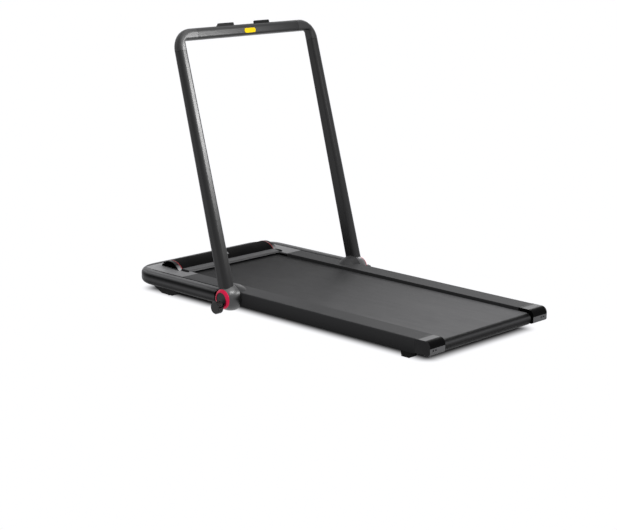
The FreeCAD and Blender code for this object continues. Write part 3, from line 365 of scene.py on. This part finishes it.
def belt_finish():
    """Black walking belt: a fine raised lattice, painted paler to the rear as a sheen, with painted
    highlight and shade where it turns.
    """
    material, tree, shader = new_material("walking_belt_weave")
    place, axes = object_place(tree), place_axes(tree)
    ridges = []
    for angle in (LATTICE_ANGLE, -LATTICE_ANGLE):
        turned = add_node(tree, "ShaderNodeMapping", {"Vector": place, "Rotation": (0, 0, angle)})
        wave = add_node(tree, "ShaderNodeTexWave", {
            "Vector": turned.outputs[0], "Scale": 150.0, "Distortion": 0.6, "Detail": 1.0})
        ridges.append(wave.outputs["Fac"])
    lattice = math_node(tree, "MAXIMUM", *ridges)
    streaks = use_effect(tree, "drawn_lines", Along_X=70.0, Along_Y=7.0, Along_Z=40.0)
    drift = use_effect(tree, "tone_drift", Scale=5.0, Contrast=1.5)
    mixed = math_node(tree, "ADD", math_node(tree, "MULTIPLY", streaks, 0.7),
                      math_node(tree, "MULTIPLY", drift, 0.3))
    tone = remap(tree, mixed, 0.0, 1.0, start=0.32, end=0.68)
    # Painted sheen: the belt is painted paler towards the rear, where the lamps' sheen falls on it.
    front_black = mottled(tree, tone, 0.006, 0.012)
    painted_sheen_rear = mottled(tree, tone, 0.115, 0.140)
    sheen_to_rear = remap(tree, axes["Y"], 1.0, 0.0, BELT_LOW.y, BELT_HIGH.y, "SMOOTHSTEP")
    base = blend_colours(tree, sheen_to_rear, front_black, painted_sheen_rear)
    ridged = blend_colours(tree, math_node(tree, "MULTIPLY", lattice, 0.25), base, grey(0.030))
    flat = dusty(tree, ridged, 0.02, grey(0.22), Scale=10.0)
    # Painted highlight and shade round the belt's turns.
    painted_turn_light = height_bands(tree, BELT_LOW.z, BELT_HIGH.z, ROLL_PAINTED_LIGHT_BANDS)
    on_top = beyond(tree, axes["Z"], BELT_HIGH.z - 2 * EDGE)
    set_varied(tree, shader, Base_Color=blend_colours(tree, on_top, painted_turn_light, flat),
               Roughness=remap(tree, on_top, 0.36, 0.62))
    raise_surface(tree, shader, lattice, 0.00025)
    set_plain(shader, Specular_IOR_Level=0.05)
    return material


# Painted shade on the rails' walls: darker than the top, darkest at the foot.
RAIL_WALL_SHADE_BANDS = ((0.0, 0.030), (0.5, 0.048), (1.0, 0.060))


def rail_finish():
    """Side rails: satin grey on top, and walls painted darker as shade, darkest towards the floor."""
    material, tree, shader = new_material("rail_satin_grey")
    tone = use_effect(tree, "tone_drift", Scale=6.0, Contrast=1.4)
    top = mottled(tree, tone, 0.062, 0.076)
    shaded_wall = height_bands(tree, RAIL_LOW, RAIL_TOP, RAIL_WALL_SHADE_BANDS)
    painted = blend_colours(tree, beyond(tree, place_axes(tree)["Z"], TOP_FACE), shaded_wall, top)
    set_varied(tree, shader, Base_Color=dusty(tree, painted, 0.03, grey(0.25)))
    uneven_gloss(tree, shader, tone, 0.50, 0.4)
    streaks = use_effect(tree, "drawn_lines", Along_X=900.0, Along_Y=9.0, Along_Z=900.0)
    raise_surface(tree, shader, streaks, 0.00002)
    set_plain(shader, Specular_IOR_Level=0.01)
    return material


def cap_finish():
    """Rear caps: a plate on top painted pale as a reflection, black band over the nose, pale lip below,
    black inner walls and outer walls painted dark as shade.
    """
    material, tree, shader = new_material("cap_black_and_pale")
    place = place_axes(tree)
    black, dark = grey(0.003), grey(0.035)
    tone = use_effect(tree, "tone_drift", Scale=14.0, Contrast=1.4)
    lip = mottled(tree, tone, 0.17, 0.23)
    # Painted reflection: the plate on top is painted pale, as lamps reflect there.
    painted_reflection_plate = mottled(tree, tone, 0.14, 0.18)
    # Painted shade: the outer walls are painted darker than the plate and lip.
    shaded_outer_wall = mottled(tree, tone, 0.038, 0.050)
    on_nose = short_of(tree, place["Y"], CAP_BAND_FRONT)
    band = both(tree, on_nose, beyond(tree, place["Z"], CAP_BAND_LOW))
    colour = blend_colours(tree, band, lip, black)
    on_top = both(tree, math_node(tree, "SUBTRACT", 1.0, on_nose), beyond(tree, place["Z"], TOP_FACE))
    top = blend_colours(tree, beyond(tree, place["Y"], CAP_PLATE_FRONT), painted_reflection_plate, dark)
    colour = blend_colours(tree, on_top, colour, top)
    sideways = math_node(tree, "ABSOLUTE", place["X"])
    colour = blend_colours(tree, short_of(tree, sideways, CAP_INNER_WALL), colour, black)
    colour = blend_colours(tree, beyond(tree, sideways, CAP_OUTER_WALL), colour, shaded_outer_wall)
    set_varied(tree, shader, Base_Color=colour)
    uneven_gloss(tree, shader, tone, 0.42, 0.5)
    set_plain(shader, Specular_IOR_Level=0.02)
    return material


def panel_finish():
    """Front panel: light grey moulding, painted paler towards the front as a reflection, so darker towards
    the belt.
    """
    material, tree, shader = new_material("panel_light_grey")
    tone = use_effect(tree, "tone_drift")
    # Painted reflection: paler towards the front, where a glancing reflection falls.
    forward = remap(tree, place_axes(tree)["Y"], 0.0, 1.0, start=PANEL_LOW.y, end=PANEL_HIGH.y)
    near_belt = mottled(tree, tone, 0.14, 0.17)
    painted_sheen_front = mottled(tree, tone, 0.28, 0.33)
    moulded = blend_colours(tree, forward, near_belt, painted_sheen_front)
    set_varied(tree, shader, Base_Color=dusty(tree, moulded, 0.03))
    uneven_gloss(tree, shader, tone, 0.42, 0.3)
    raise_surface(tree, shader, use_effect(tree, "moulded_grain", Scale=1400.0), 0.00003)
    set_plain(shader, Specular_IOR_Level=0.1)
    return material


# Greys by share of the bumper's height: painted reflections as the pale bands, painted shade as the black
# between and below.
BUMPER_REFLECTION_BANDS = ((0.0, 0.006), (0.21, 0.018), (0.30, 0.040), (0.44, 0.105), (0.53, 0.090), (0.60, 0.038),
                (0.69, 0.004), (0.78, 0.006), (0.86, 0.105), (0.92, 0.200), (0.97, 0.110), (1.0, 0.100))


def bumper_finish():
    """Bumper: satin gunmetal with painted reflections as pale bands half way up its wall and along its top
    edge, and painted shade, black, between and below.
    """
    material, tree, shader = new_material("bumper_painted_reflection_gunmetal")
    bands = height_bands(tree, BUMPER_LOW.z, BUMPER_HIGH.z, BUMPER_REFLECTION_BANDS)
    tone = use_effect(tree, "tone_drift")
    varied = add_node(tree, "ShaderNodeVectorMath", {
        0: bands, "Scale": remap(tree, tone, 1 - TONE_DRIFT, 1 + TONE_DRIFT)}, operation="SCALE")
    set_varied(tree, shader, Base_Color=dusty(tree, varied.outputs[0], 0.02))
    uneven_gloss(tree, shader, tone, 0.36, 0.3)
    raise_surface(tree, shader, use_effect(tree, "moulded_grain", Scale=1800.0), 0.00001)
    set_plain(shader, Specular_IOR_Level=0.05)
    return material


def hood_end_finish():
    """Hood ends: gloss black rim with a painted highlight low on its rear side, and matt black inside the
    recess.
    """
    material, tree, shader = new_material("hood_end_gloss_black")
    chord, rise = (HOOD_HIGH.y - HOOD_LOW.y) / 2, HOOD_HIGH.z - HOOD_LOW.z
    radius = (chord ** 2 + rise ** 2) / (2 * rise)
    middle = (0, (HOOD_HIGH.y + HOOD_LOW.y) / 2, HOOD_HIGH.z - radius)
    away = vector_node(tree, "SUBTRACT", object_place(tree), middle)[0]
    across = vector_node(tree, "MULTIPLY", away, (0, 1, 1))[0]
    reach = vector_node(tree, "LENGTH", across)["Value"]
    on_rim = beyond(tree, reach, radius - HOOD_WALL + 2 * EDGE)
    sideways = math_node(tree, "ABSOLUTE", facing_axes(tree)["X"])
    round_face = both(tree, on_rim, remap(tree, sideways, 1.0, 0.0, start=0.4, end=0.6))
    place = place_axes(tree)
    palest, darkest = HOOD_LOW.z + 0.10 * rise, HOOD_LOW.z + 0.65 * rise
    low_down = remap(tree, place["Z"], 1.0, 0.0, start=palest, end=darkest)
    low_behind = both(tree, low_down, short_of(tree, place["Y"], middle[1]))
    tone = use_effect(tree, "tone_drift", Scale=30.0, Contrast=1.5)
    body = blend_colours(tree, on_rim, grey(0.001), mottled(tree, tone, 0.004, 0.007))
    # Painted highlight: a pale glint low on the rear side of the rim's round face.
    painted_glint = mottled(tree, tone, 0.34, 0.44)
    set_varied(tree, shader, Base_Color=blend_colours(tree, both(tree, round_face, low_behind), body, painted_glint),
               Roughness=remap(tree, on_rim, 0.95, 0.20), Coat_Weight=remap(tree, on_rim, 0.0, 0.3))
    set_plain(shader, Specular_IOR_Level=0.02, Coat_Roughness=0.10)
    return material


def deck_wood_finish():
    """Dark waxed fibreboard under the belt."""
    material, tree, shader = new_material("deck_fibreboard")
    fibres = use_effect(tree, "drawn_lines", Along_X=220.0, Along_Y=26.0, Along_Z=220.0)
    colour = blend_colours(tree, fibres, (0.022, 0.018, 0.015, 1), (0.045, 0.036, 0.028, 1))
    set_varied(tree, shader, Base_Color=colour, Roughness=remap(tree, fibres, 0.5, 0.7))
    raise_surface(tree, shader, fibres, 0.0002)
    return material


def board_finish():
    """Green lacquered circuit board with paler copper runs under the lacquer."""
    material, tree, shader = new_material("circuit_board_lacquer")
    runs = add_node(tree, "ShaderNodeTexBrick", {
        "Vector": object_place(tree), "Scale": 90.0, "Mortar Size": 0.06,
        "Color1": (0.02, 0.13, 0.06, 1), "Color2": (0.03, 0.17, 0.08, 1), "Mortar": (0.12, 0.30, 0.10, 1)})
    set_varied(tree, shader, Base_Color=runs.outputs["Color"],
               Roughness=remap(tree, runs.outputs["Fac"], 0.30, 0.42))
    raise_surface(tree, shader, runs.outputs["Fac"], 0.0001)
    return material


# The stretch of drawn lines that run along X, and of those that run along Z.
CROSSWAYS = (9.0, 900.0, 900.0)
UPRIGHT = (900.0, 900.0, 9.0)

# One finish for every material slot.
FINISHES = {
    "belt_black": belt_finish(),
    "deck_wood": deck_wood_finish(),
    "board_green": board_finish(),
    "rail_grey": rail_finish(),
    "panel_grey": panel_finish(),
    "hood_black": finish("hood_grained_black", grey(0.004), 0.80, grain=(700.0, 0.00012), dust=0.0,
                         Specular_IOR_Level=0.03),
    "gloss_black": finish("gloss_black", grey(0.006), 0.12, marks=0.5, dust=0.01, Specular_IOR_Level=0.3),
    "cap_chrome": cap_finish(),
    "trim_red": finish("trim_red", (0.26, 0.006, 0.014, 1), 0.35, dust=0.0, Specular_IOR_Level=0.2),
    "ring_crimson": finish("ring_metallic_crimson", (0.66, 0.006, 0.060, 1), 0.26, dust=0.0,
                           lines=(*CROSSWAYS, 0.00002), Metallic=0.5, Specular_IOR_Level=0.3),
    "sensor_grey": finish("sensor_grey", grey(0.14), 0.30, dust=0.0),
    "gunmetal": finish("handrail_gunmetal", grey(0.012), 0.40, lines=(*UPRIGHT, 0.00001), dust=0.0,
                       Specular_IOR_Level=0.27),
    "bumper_gunmetal": finish("gunmetal_moulded", grey(0.018), 0.40, grain=(1800.0, 0.00001), dust=0.0,
                              Specular_IOR_Level=0.35),
    "plastic_black": finish("moulded_black", grey(0.006), 0.50, grain=(1100.0, 0.00006), dust=0.01,
                            Specular_IOR_Level=0.08),
    "knob_black": finish("knob_black", grey(0.004), 0.22, grain=(1500.0, 0.00002), dust=0.0,
                         Specular_IOR_Level=0.3),
    "button_yellow": finish("button_yellow", (0.58, 0.40, 0.002, 1), 0.40, drift=0.04, dust=0.0,
                            grain=(1600.0, 0.00002), Specular_IOR_Level=0.05),
    "foot_rubber": finish("foot_rubber", grey(0.008), 0.72, grain=(900.0, 0.00010), dust=0.02,
                          Specular_IOR_Level=0.1),
    "frame_black": finish("frame_powder_coat", grey(0.012), 0.55, grain=(800.0, 0.00008), dust=0.04,
                          Specular_IOR_Level=0.2),
    "steel": finish("turned_steel", grey(0.52), 0.30, lines=(*CROSSWAYS, 0.00002), Metallic=1.0),
    "motor_grey": finish("motor_cast_grey", grey(0.28), 0.48, grain=(500.0, 0.00010), Metallic=0.8),
    "bush_brass": finish("bush_brass", (0.55, 0.38, 0.14, 1), 0.28, lines=(*CROSSWAYS, 0.00002),
                         Metallic=1.0),
}

# Pieces whose finish differs from the others of their slot.
OWN_FINISHES = {
    "front_bumper": bumper_finish(),
    "hood_ends": hood_end_finish(),
    "hood_skirt": finish("skirt_grey", grey(0.060), 0.42, grain=(1400.0, 0.00003), Specular_IOR_Level=0.1),
    "hinge_caps": finish("end_disc_grey", grey(0.022), 0.40, grain=(1500.0, 0.00003), dust=0.0,
                         Specular_IOR_Level=0.25),
    "wheel_axles": FINISHES["frame_black"],
    "holder_pin": FINISHES["frame_black"],
    "power_rocker": FINISHES["gloss_black"],
    "sensor_window": finish("window_smoked_black", grey(0.001), 0.30, dust=0.0, Specular_IOR_Level=0.03),
}
BARREL_FINISH = finish("barrel_satin_gunmetal", grey(0.008), 0.32, grain=(1800.0, 0.00001), dust=0.0,
                       Specular_IOR_Level=0.9)
DOME_FINISH = finish("dome_gunmetal", grey(0.040), 0.50, grain=(1800.0, 0.00001), dust=0.0,
                     Specular_IOR_Level=0.15)
for hand in ("left", "right"):
    OWN_FINISHES["hinge_barrel_" + hand] = BARREL_FINISH
    OWN_FINISHES["hinge_dome_" + hand] = DOME_FINISH


def dress_cad_nodes():
    """Gives every CAD piece its own finish, or else that of its slot."""
    for part in frame["record"]["subparts"]:
        mesh = pad_nodes[part["node"]].data
        mesh.materials.clear()
        mesh.materials.append(OWN_FINISHES.get(part["node"], FINISHES[part["material_slot"]]))


# Small fittings

def new_maker(name, sizes):
    """A Geometry Nodes tree with a mesh input, float sizes and a finish.

    Returns it with its inputs and its end node.
    """
    tree = bpy.data.node_groups.new(name, "GeometryNodeTree")
    tree.interface.new_socket("Places", in_out="INPUT", socket_type="NodeSocketGeometry")
    for size in sizes:
        tree.interface.new_socket(size, in_out="INPUT", socket_type="NodeSocketFloat")
    tree.interface.new_socket("Finish", in_out="INPUT", socket_type="NodeSocketMaterial")
    tree.interface.new_socket("Pieces", in_out="OUTPUT", socket_type="NodeSocketGeometry")
    return tree, tree.nodes.new("NodeGroupInput").outputs, tree.nodes.new("NodeGroupOutput")


def half_of(tree, size):
    return math_node(tree, "MULTIPLY", size, 0.5)


def set_on_places(tree, given, end, shape):
    """Stands a copy of the shape on every place, turned to the place's own facing."""
    facing = add_node(tree, "GeometryNodeInputNamedAttribute", {"Name": "facing"}, data_type="FLOAT_VECTOR")
    turn = add_node(tree, "FunctionNodeAlignRotationToVector", {
        "Vector": facing.outputs["Attribute"]}, axis="Z")
    copies = add_node(tree, "GeometryNodeInstanceOnPoints", {
        "Points": given["Places"], "Instance": shape, "Rotation": turn.outputs[0]})
    solid = add_node(tree, "GeometryNodeRealizeInstances", {0: copies.outputs[0]})
    dressed = add_node(tree, "GeometryNodeSetMaterial", {
        "Geometry": solid.outputs[0], "Material": given["Finish"]})
    tree.links.new(dressed.outputs[0], end.inputs["Pieces"])


def screw_maker():
    """Pan-head screws with a hexagon socket."""
    tree, given, end = new_maker("socket_screws", ["Head Radius", "Head Height"])
    radius, height = given["Head Radius"], given["Head Height"]
    head = add_node(tree, "GeometryNodeMeshCone", {
        "Vertices": 24, "Radius Top": math_node(tree, "MULTIPLY", radius, 0.78),
        "Radius Bottom": radius, "Depth": height})
    socket = add_node(tree, "GeometryNodeMeshCylinder", {
        "Vertices": 6, "Radius": half_of(tree, radius), "Depth": height})
    lift = add_node(tree, "ShaderNodeCombineXYZ", {"Z": height})
    raised = add_node(tree, "GeometryNodeTransform", {
        "Geometry": socket.outputs["Mesh"], "Translation": lift.outputs[0]})
    hollow = add_node(tree, "GeometryNodeMeshBoolean", {
        "Mesh 1": head.outputs["Mesh"], "Mesh 2": raised.outputs[0]}, operation="DIFFERENCE")
    set_on_places(tree, given, end, hollow.outputs["Mesh"])
    return tree


def rib_maker():
    """Round-ended ribs that lie along Y, half sunk in the wall they stand on."""
    tree, given, end = new_maker("round_ribs", ["Rib Radius", "Rib Length"])
    ball = add_node(tree, "GeometryNodeMeshUVSphere", {
        "Segments": 16, "Rings": 8, "Radius": given["Rib Radius"]})
    half = half_of(tree, given["Rib Length"])
    ends = []
    for side in (half, math_node(tree, "MULTIPLY", half, -1.0)):
        shift = add_node(tree, "ShaderNodeCombineXYZ", {"Y": side})
        ends.append(add_node(tree, "GeometryNodeTransform", {
            "Geometry": ball.outputs["Mesh"], "Translation": shift.outputs[0]}).outputs[0])
    joined = tree.nodes.new("GeometryNodeJoinGeometry")
    for geometry in ends:
        tree.links.new(geometry, joined.inputs[0])
    rib = add_node(tree, "GeometryNodeConvexHull", {0: joined.outputs[0]})
    set_on_places(tree, given, end, rib.outputs[0])
    return tree


SCREWS, RIBS = screw_maker(), rib_maker()
UP, DOWN, FORWARD = (0, 0, 1), (0, 0, -1), (0, 1, 0)


def shaped_mesh(piece):
    """A mesh of the piece as its maker or its curve shapes it."""
    graph = bpy.context.evaluated_depsgraph_get()
    return bpy.data.meshes.new_from_object(piece.evaluated_get(graph), depsgraph=graph)


def make_fittings(name, maker, places, sizes, body, slot):
    """One mesh of repeated fittings; places is a list of (point, facing)."""
    mesh = bpy.data.meshes.new(name)
    mesh.from_pydata([point for point, facing in places], [], [])
    facings = mesh.attributes.new("facing", "FLOAT_VECTOR", "POINT")
    facings.data.foreach_set("vector", [axis for point, facing in places for axis in facing])
    piece = bpy.data.objects.new(name, mesh)
    scene.collection.objects.link(piece)
    modifier = piece.modifiers.new("maker", "NODES")
    modifier.node_group = maker
    for socket in maker.interface.items_tree:
        if socket.in_out == "INPUT" and socket.name in sizes:
            modifier[socket.identifier] = sizes[socket.name]
        elif socket.name == "Finish":
            modifier[socket.identifier] = FINISHES[slot]
    solid = shaped_mesh(piece)
    piece.modifiers.clear()
    piece.data = solid
    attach(piece, body)


def fit_underside():
    """Screws and stiffening ribs under the belly pan, and a screw under each rear cap."""
    low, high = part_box("belly_pan")
    columns, margin = (0.050, 0.150, 0.225), 0.010
    cap_middle, cap_setback = (CAP_LOW.x + CAP_HIGH.x) / 2, 0.034
    screws = []
    for side in (-1, 1):
        for x in columns:
            screws += [((side * x, y, low.z), DOWN) for y in (low.y + margin, high.y - margin)]
        screws.append(((cap_middle * side, CAP_LOW.y + cap_setback, CAP_LOW.z), DOWN))
    make_fittings("underside_screws", SCREWS, screws,
                  {"Head Radius": 0.0042, "Head Height": 0.0018}, "base", "steel")
    count, pitch, middle = 9, 0.009, 0.100
    ribs = []
    for side in (-1, 1):
        for step in range(count):
            x = side * middle + (step - (count - 1) / 2) * pitch
            ribs.append(((x, (low.y + high.y) / 2, low.z), UP))
    make_fittings("belly_pan_ribs", RIBS, ribs,
                  {"Rib Radius": 0.0018, "Rib Length": 0.040}, "base", "plastic_black")


def fit_inlet_screws():
    """The two screws of the mains inlet's plate, in columns counted from the plate's left edge."""
    low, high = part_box("power_inlet")
    middle = (low.z + high.z) / 2
    columns = (0.0042, 0.0408)
    screws = [((low.x + x, high.y, middle), FORWARD) for x in columns]
    make_fittings("inlet_screws", SCREWS, screws,
                  {"Head Radius": 0.0024, "Head Height": 0.0010}, "base", "frame_black")


def fit_skirt_end_shade():
    """Black pieces in the rubber finish at each end of the hood's skirt, standing in for the shade under
    its raised ends.
    """
    low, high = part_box("hood_skirt")
    radius, length = 0.0055, 0.026
    y = high.y - radius - length / 2
    # Painted shade: the dark stops stand where the skirt's ends throw shade.
    stops = [((side * (high.x + radius), y, low.z), UP) for side in (-1, 1)]
    make_fittings("skirt_end_shade", RIBS, stops,
                  {"Rib Radius": radius, "Rib Length": length}, "base", "foot_rubber")


def fit_panel_seal():
    """A thin black seal that follows the seam between the panel and rails and the bumper round them."""
    corner, bead, steps = 0.025, 0.0013, 8
    seam, sunk, setback = 0.0008, 0.0006, 0.012
    rear = BUMPER_LOW.y + setback
    side, front = PANEL_HIGH.x + seam, PANEL_HIGH.y + seam
    path = [(-side, rear)]
    for turn_x, start in ((-1, math.pi), (1, math.pi / 2)):
        for step in range(steps + 1):
            angle = start - math.pi / 2 * step / steps
            path.append((turn_x * (side - corner) + corner * math.cos(angle),
                         front - corner + corner * math.sin(angle)))
    path.append((side, rear))
    curve = bpy.data.curves.new("panel_seal", "CURVE")
    curve.dimensions = "3D"
    curve.bevel_depth = bead
    curve.bevel_resolution = 2
    curve.use_fill_caps = True
    line = curve.splines.new("POLY")
    line.points.add(len(path) - 1)
    for point, (x, y) in zip(line.points, path):
        point.co = (x, y, RAIL_TOP - sunk, 1)
    holder = bpy.data.objects.new("panel_seal", curve)
    scene.collection.objects.link(holder)
    mesh = shaped_mesh(holder)
    bpy.data.objects.remove(holder)
    mesh.materials.clear()
    mesh.materials.append(FINISHES["foot_rubber"])
    seal = bpy.data.objects.new("panel_seal", mesh)
    scene.collection.objects.link(seal)
    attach(seal, "base")


def fit_edge_strips():
    """Foam strips that close the gap between the deck's sides and the frame beams."""
    deck_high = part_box("deck_board")[1]
    beam_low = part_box("frame_beam_right")[0]
    clearance, thickness, rounding = 0.0005, 0.002, 0.0006
    rear_gap, front_gap = 0.002, 0.010
    inner, outer = deck_high.x + clearance, beam_low.x - clearance
    rear, front = beam_low.y + rear_gap, deck_high.y - front_gap
    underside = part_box("cross_members")[1].z + clearance / 2
    size = (outer - inner, front - rear, thickness, 1)
    shell = bmesh.new()
    for side in (-1, 1):
        middle = Vector((side * (inner + outer) / 2, (rear + front) / 2, underside + thickness / 2))
        strip = bmesh.ops.create_cube(shell, matrix=Matrix.Translation(middle) @ Matrix.Diagonal(size))
        edges = list({edge for corner in strip["verts"] for edge in corner.link_edges})
        bmesh.ops.bevel(shell, geom=edges, offset=rounding, segments=2, affect="EDGES")
    mesh = bpy.data.meshes.new("deck_edge_strips")
    shell.to_mesh(mesh)
    shell.free()
    mesh.materials.append(FINISHES["foot_rubber"])
    strips = bpy.data.objects.new("deck_edge_strips", mesh)
    scene.collection.objects.link(strips)
    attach(strips, "base")


# Studio

def seen_directly(tree):
    """1 for rays that show the background: from the camera, by reflection or through glass."""
    path = add_node(tree, "ShaderNodeLightPath")
    shown = math_node(tree, "MAXIMUM", path.outputs["Is Camera Ray"], path.outputs["Is Glossy Ray"])
    return math_node(tree, "MAXIMUM", shown, path.outputs["Is Transmission Ray"])


def outside_of(tree, half_width, rear, front, corner):
    """How far a point of the floor lies outside a rectangle with round corners; under 0 inside it."""
    place = place_axes(tree)
    sideways = math_node(tree, "ABSOLUTE", place["X"])
    lengthways = math_node(tree, "ABSOLUTE", math_node(tree, "SUBTRACT", place["Y"], (front + rear) / 2))
    past = [math_node(tree, "MAXIMUM", math_node(tree, "SUBTRACT", reach, half - corner), 0.0)
            for reach, half in ((sideways, half_width), (lengthways, (front - rear) / 2))]
    offset = add_node(tree, "ShaderNodeCombineXYZ", {"X": past[0], "Y": past[1]})
    return math_node(tree, "SUBTRACT", vector_node(tree, "LENGTH", offset.outputs[0])["Value"], corner)


def build_floor():
    """A white floor with the pad's contact shadow on grey painted darker near the pad; plain white past the
    pad's outline, clear from below.
    """
    mesh = bpy.data.meshes.new("floor")
    corners = [(x * FLOOR_HALF, y * FLOOR_HALF, 0) for x, y in ((-1, -1), (1, -1), (1, 1), (-1, 1))]
    mesh.from_pydata(corners, [], [(0, 1, 2, 3)])
    floor = bpy.data.objects.new("floor", mesh)
    scene.collection.objects.link(floor)
    material = bpy.data.materials.new("studio_floor")
    material.use_nodes = True
    tree = material.node_tree
    tree.nodes.clear()
    rails = outside_of(tree, CAP_HIGH.x, CAP_LOW.y, BUMPER_HIGH.y, SHADOW_INSET)
    bumper = outside_of(tree, BUMPER_HIGH.x, BUMPER_LOW.y, BUMPER_HIGH.y, BUMPER_CORNER)
    nearest = math_node(tree, "MINIMUM", rails, bumper)
    fade = remap(tree, nearest, 0.0, 1.0, -SHADOW_INSET, SHADOW_REACH, "SMOOTHSTEP")
    # Painted shade: darker grey near the pad, so the shadow cast there reads deeper.
    shaded = add_node(tree, "ShaderNodeBsdfDiffuse", {"Color": grey(FLOOR_SHADE)})
    white = add_node(tree, "ShaderNodeEmission", {
        "Color": grey(1.0), "Strength": remap(tree, seen_directly(tree), FLOOR_BOUNCE, 1.0)})
    mixed = add_node(tree, "ShaderNodeMixShader", {
        0: fade, 1: shaded.outputs[0], 2: white.outputs[0]})
    from_below = add_node(tree, "ShaderNodeNewGeometry").outputs["Backfacing"]
    clear = add_node(tree, "ShaderNodeBsdfTransparent")
    top_only = add_node(tree, "ShaderNodeMixShader", {
        0: from_below, 1: mixed.outputs[0], 2: clear.outputs[0]})
    output = add_node(tree, "ShaderNodeOutputMaterial", {"Surface": top_only.outputs[0]})
    tree.nodes.active = output
    mesh.materials.append(material)


def build_sky():
    """White where it is seen, and a weak even light on the pad."""
    world = bpy.data.worlds.new("studio_white")
    world.use_nodes = True
    tree = world.node_tree
    strength = remap(tree, seen_directly(tree), SKY_LIGHT, 1.0)
    background = tree.nodes["Background"]
    background.inputs["Color"].default_value = grey(1.0)
    tree.links.new(strength, background.inputs["Strength"])
    scene.world = world


def hang_lamps():
    """Soft rectangular lamps that light the pad but aren't seen by the camera."""
    for name, lamp in SOFT_LAMPS.items():
        light = bpy.data.lights.new(name, "AREA")
        light.shape = "RECTANGLE"
        light.size, light.size_y = lamp["size"]
        light.energy = lamp["power"]
        light.spread = math.radians(lamp["spread"])
        hung = bpy.data.objects.new(name, light)
        aim = Vector(lamp["target"]) - Vector(lamp["place"])
        turn = aim.to_track_quat("-Z", "Y").to_matrix().to_4x4()
        hung.matrix_world = Matrix.Translation(lamp["place"]) @ turn
        hung.visible_camera = False
        scene.collection.objects.link(hung)


def place_camera():
    """The photograph's camera, from the yaw, pitch and roll that were fitted to it."""
    forward = Vector((math.sin(CAMERA_YAW) * math.cos(CAMERA_PITCH),
                      math.cos(CAMERA_YAW) * math.cos(CAMERA_PITCH), -math.sin(CAMERA_PITCH)))
    level = Vector((math.cos(CAMERA_YAW), -math.sin(CAMERA_YAW), 0))
    up = level.cross(forward)
    right = level * math.cos(CAMERA_ROLL) + up * math.sin(CAMERA_ROLL)
    up = up * math.cos(CAMERA_ROLL) - level * math.sin(CAMERA_ROLL)
    camera = bpy.data.cameras.new("photo_camera")
    camera.sensor_fit = "HORIZONTAL"
    camera.sensor_width = SENSOR_WIDTH
    camera.lens = FOCAL_PIXELS / IMAGE_WIDTH * SENSOR_WIDTH
    camera.clip_end = VIEW_DEPTH
    holder = bpy.data.objects.new("photo_camera", camera)
    turn = Matrix((right, up, -forward)).transposed().to_4x4()
    holder.matrix_world = Matrix.Translation(CAMERA_PLACE) @ turn
    scene.collection.objects.link(holder)
    scene.camera = holder


dress_cad_nodes()
fit_underside()
fit_inlet_screws()
fit_skirt_end_shade()
fit_panel_seal()
fit_edge_strips()
build_floor()
build_sky()
hang_lamps()
place_camera()
scene.view_settings.view_transform = "Standard"
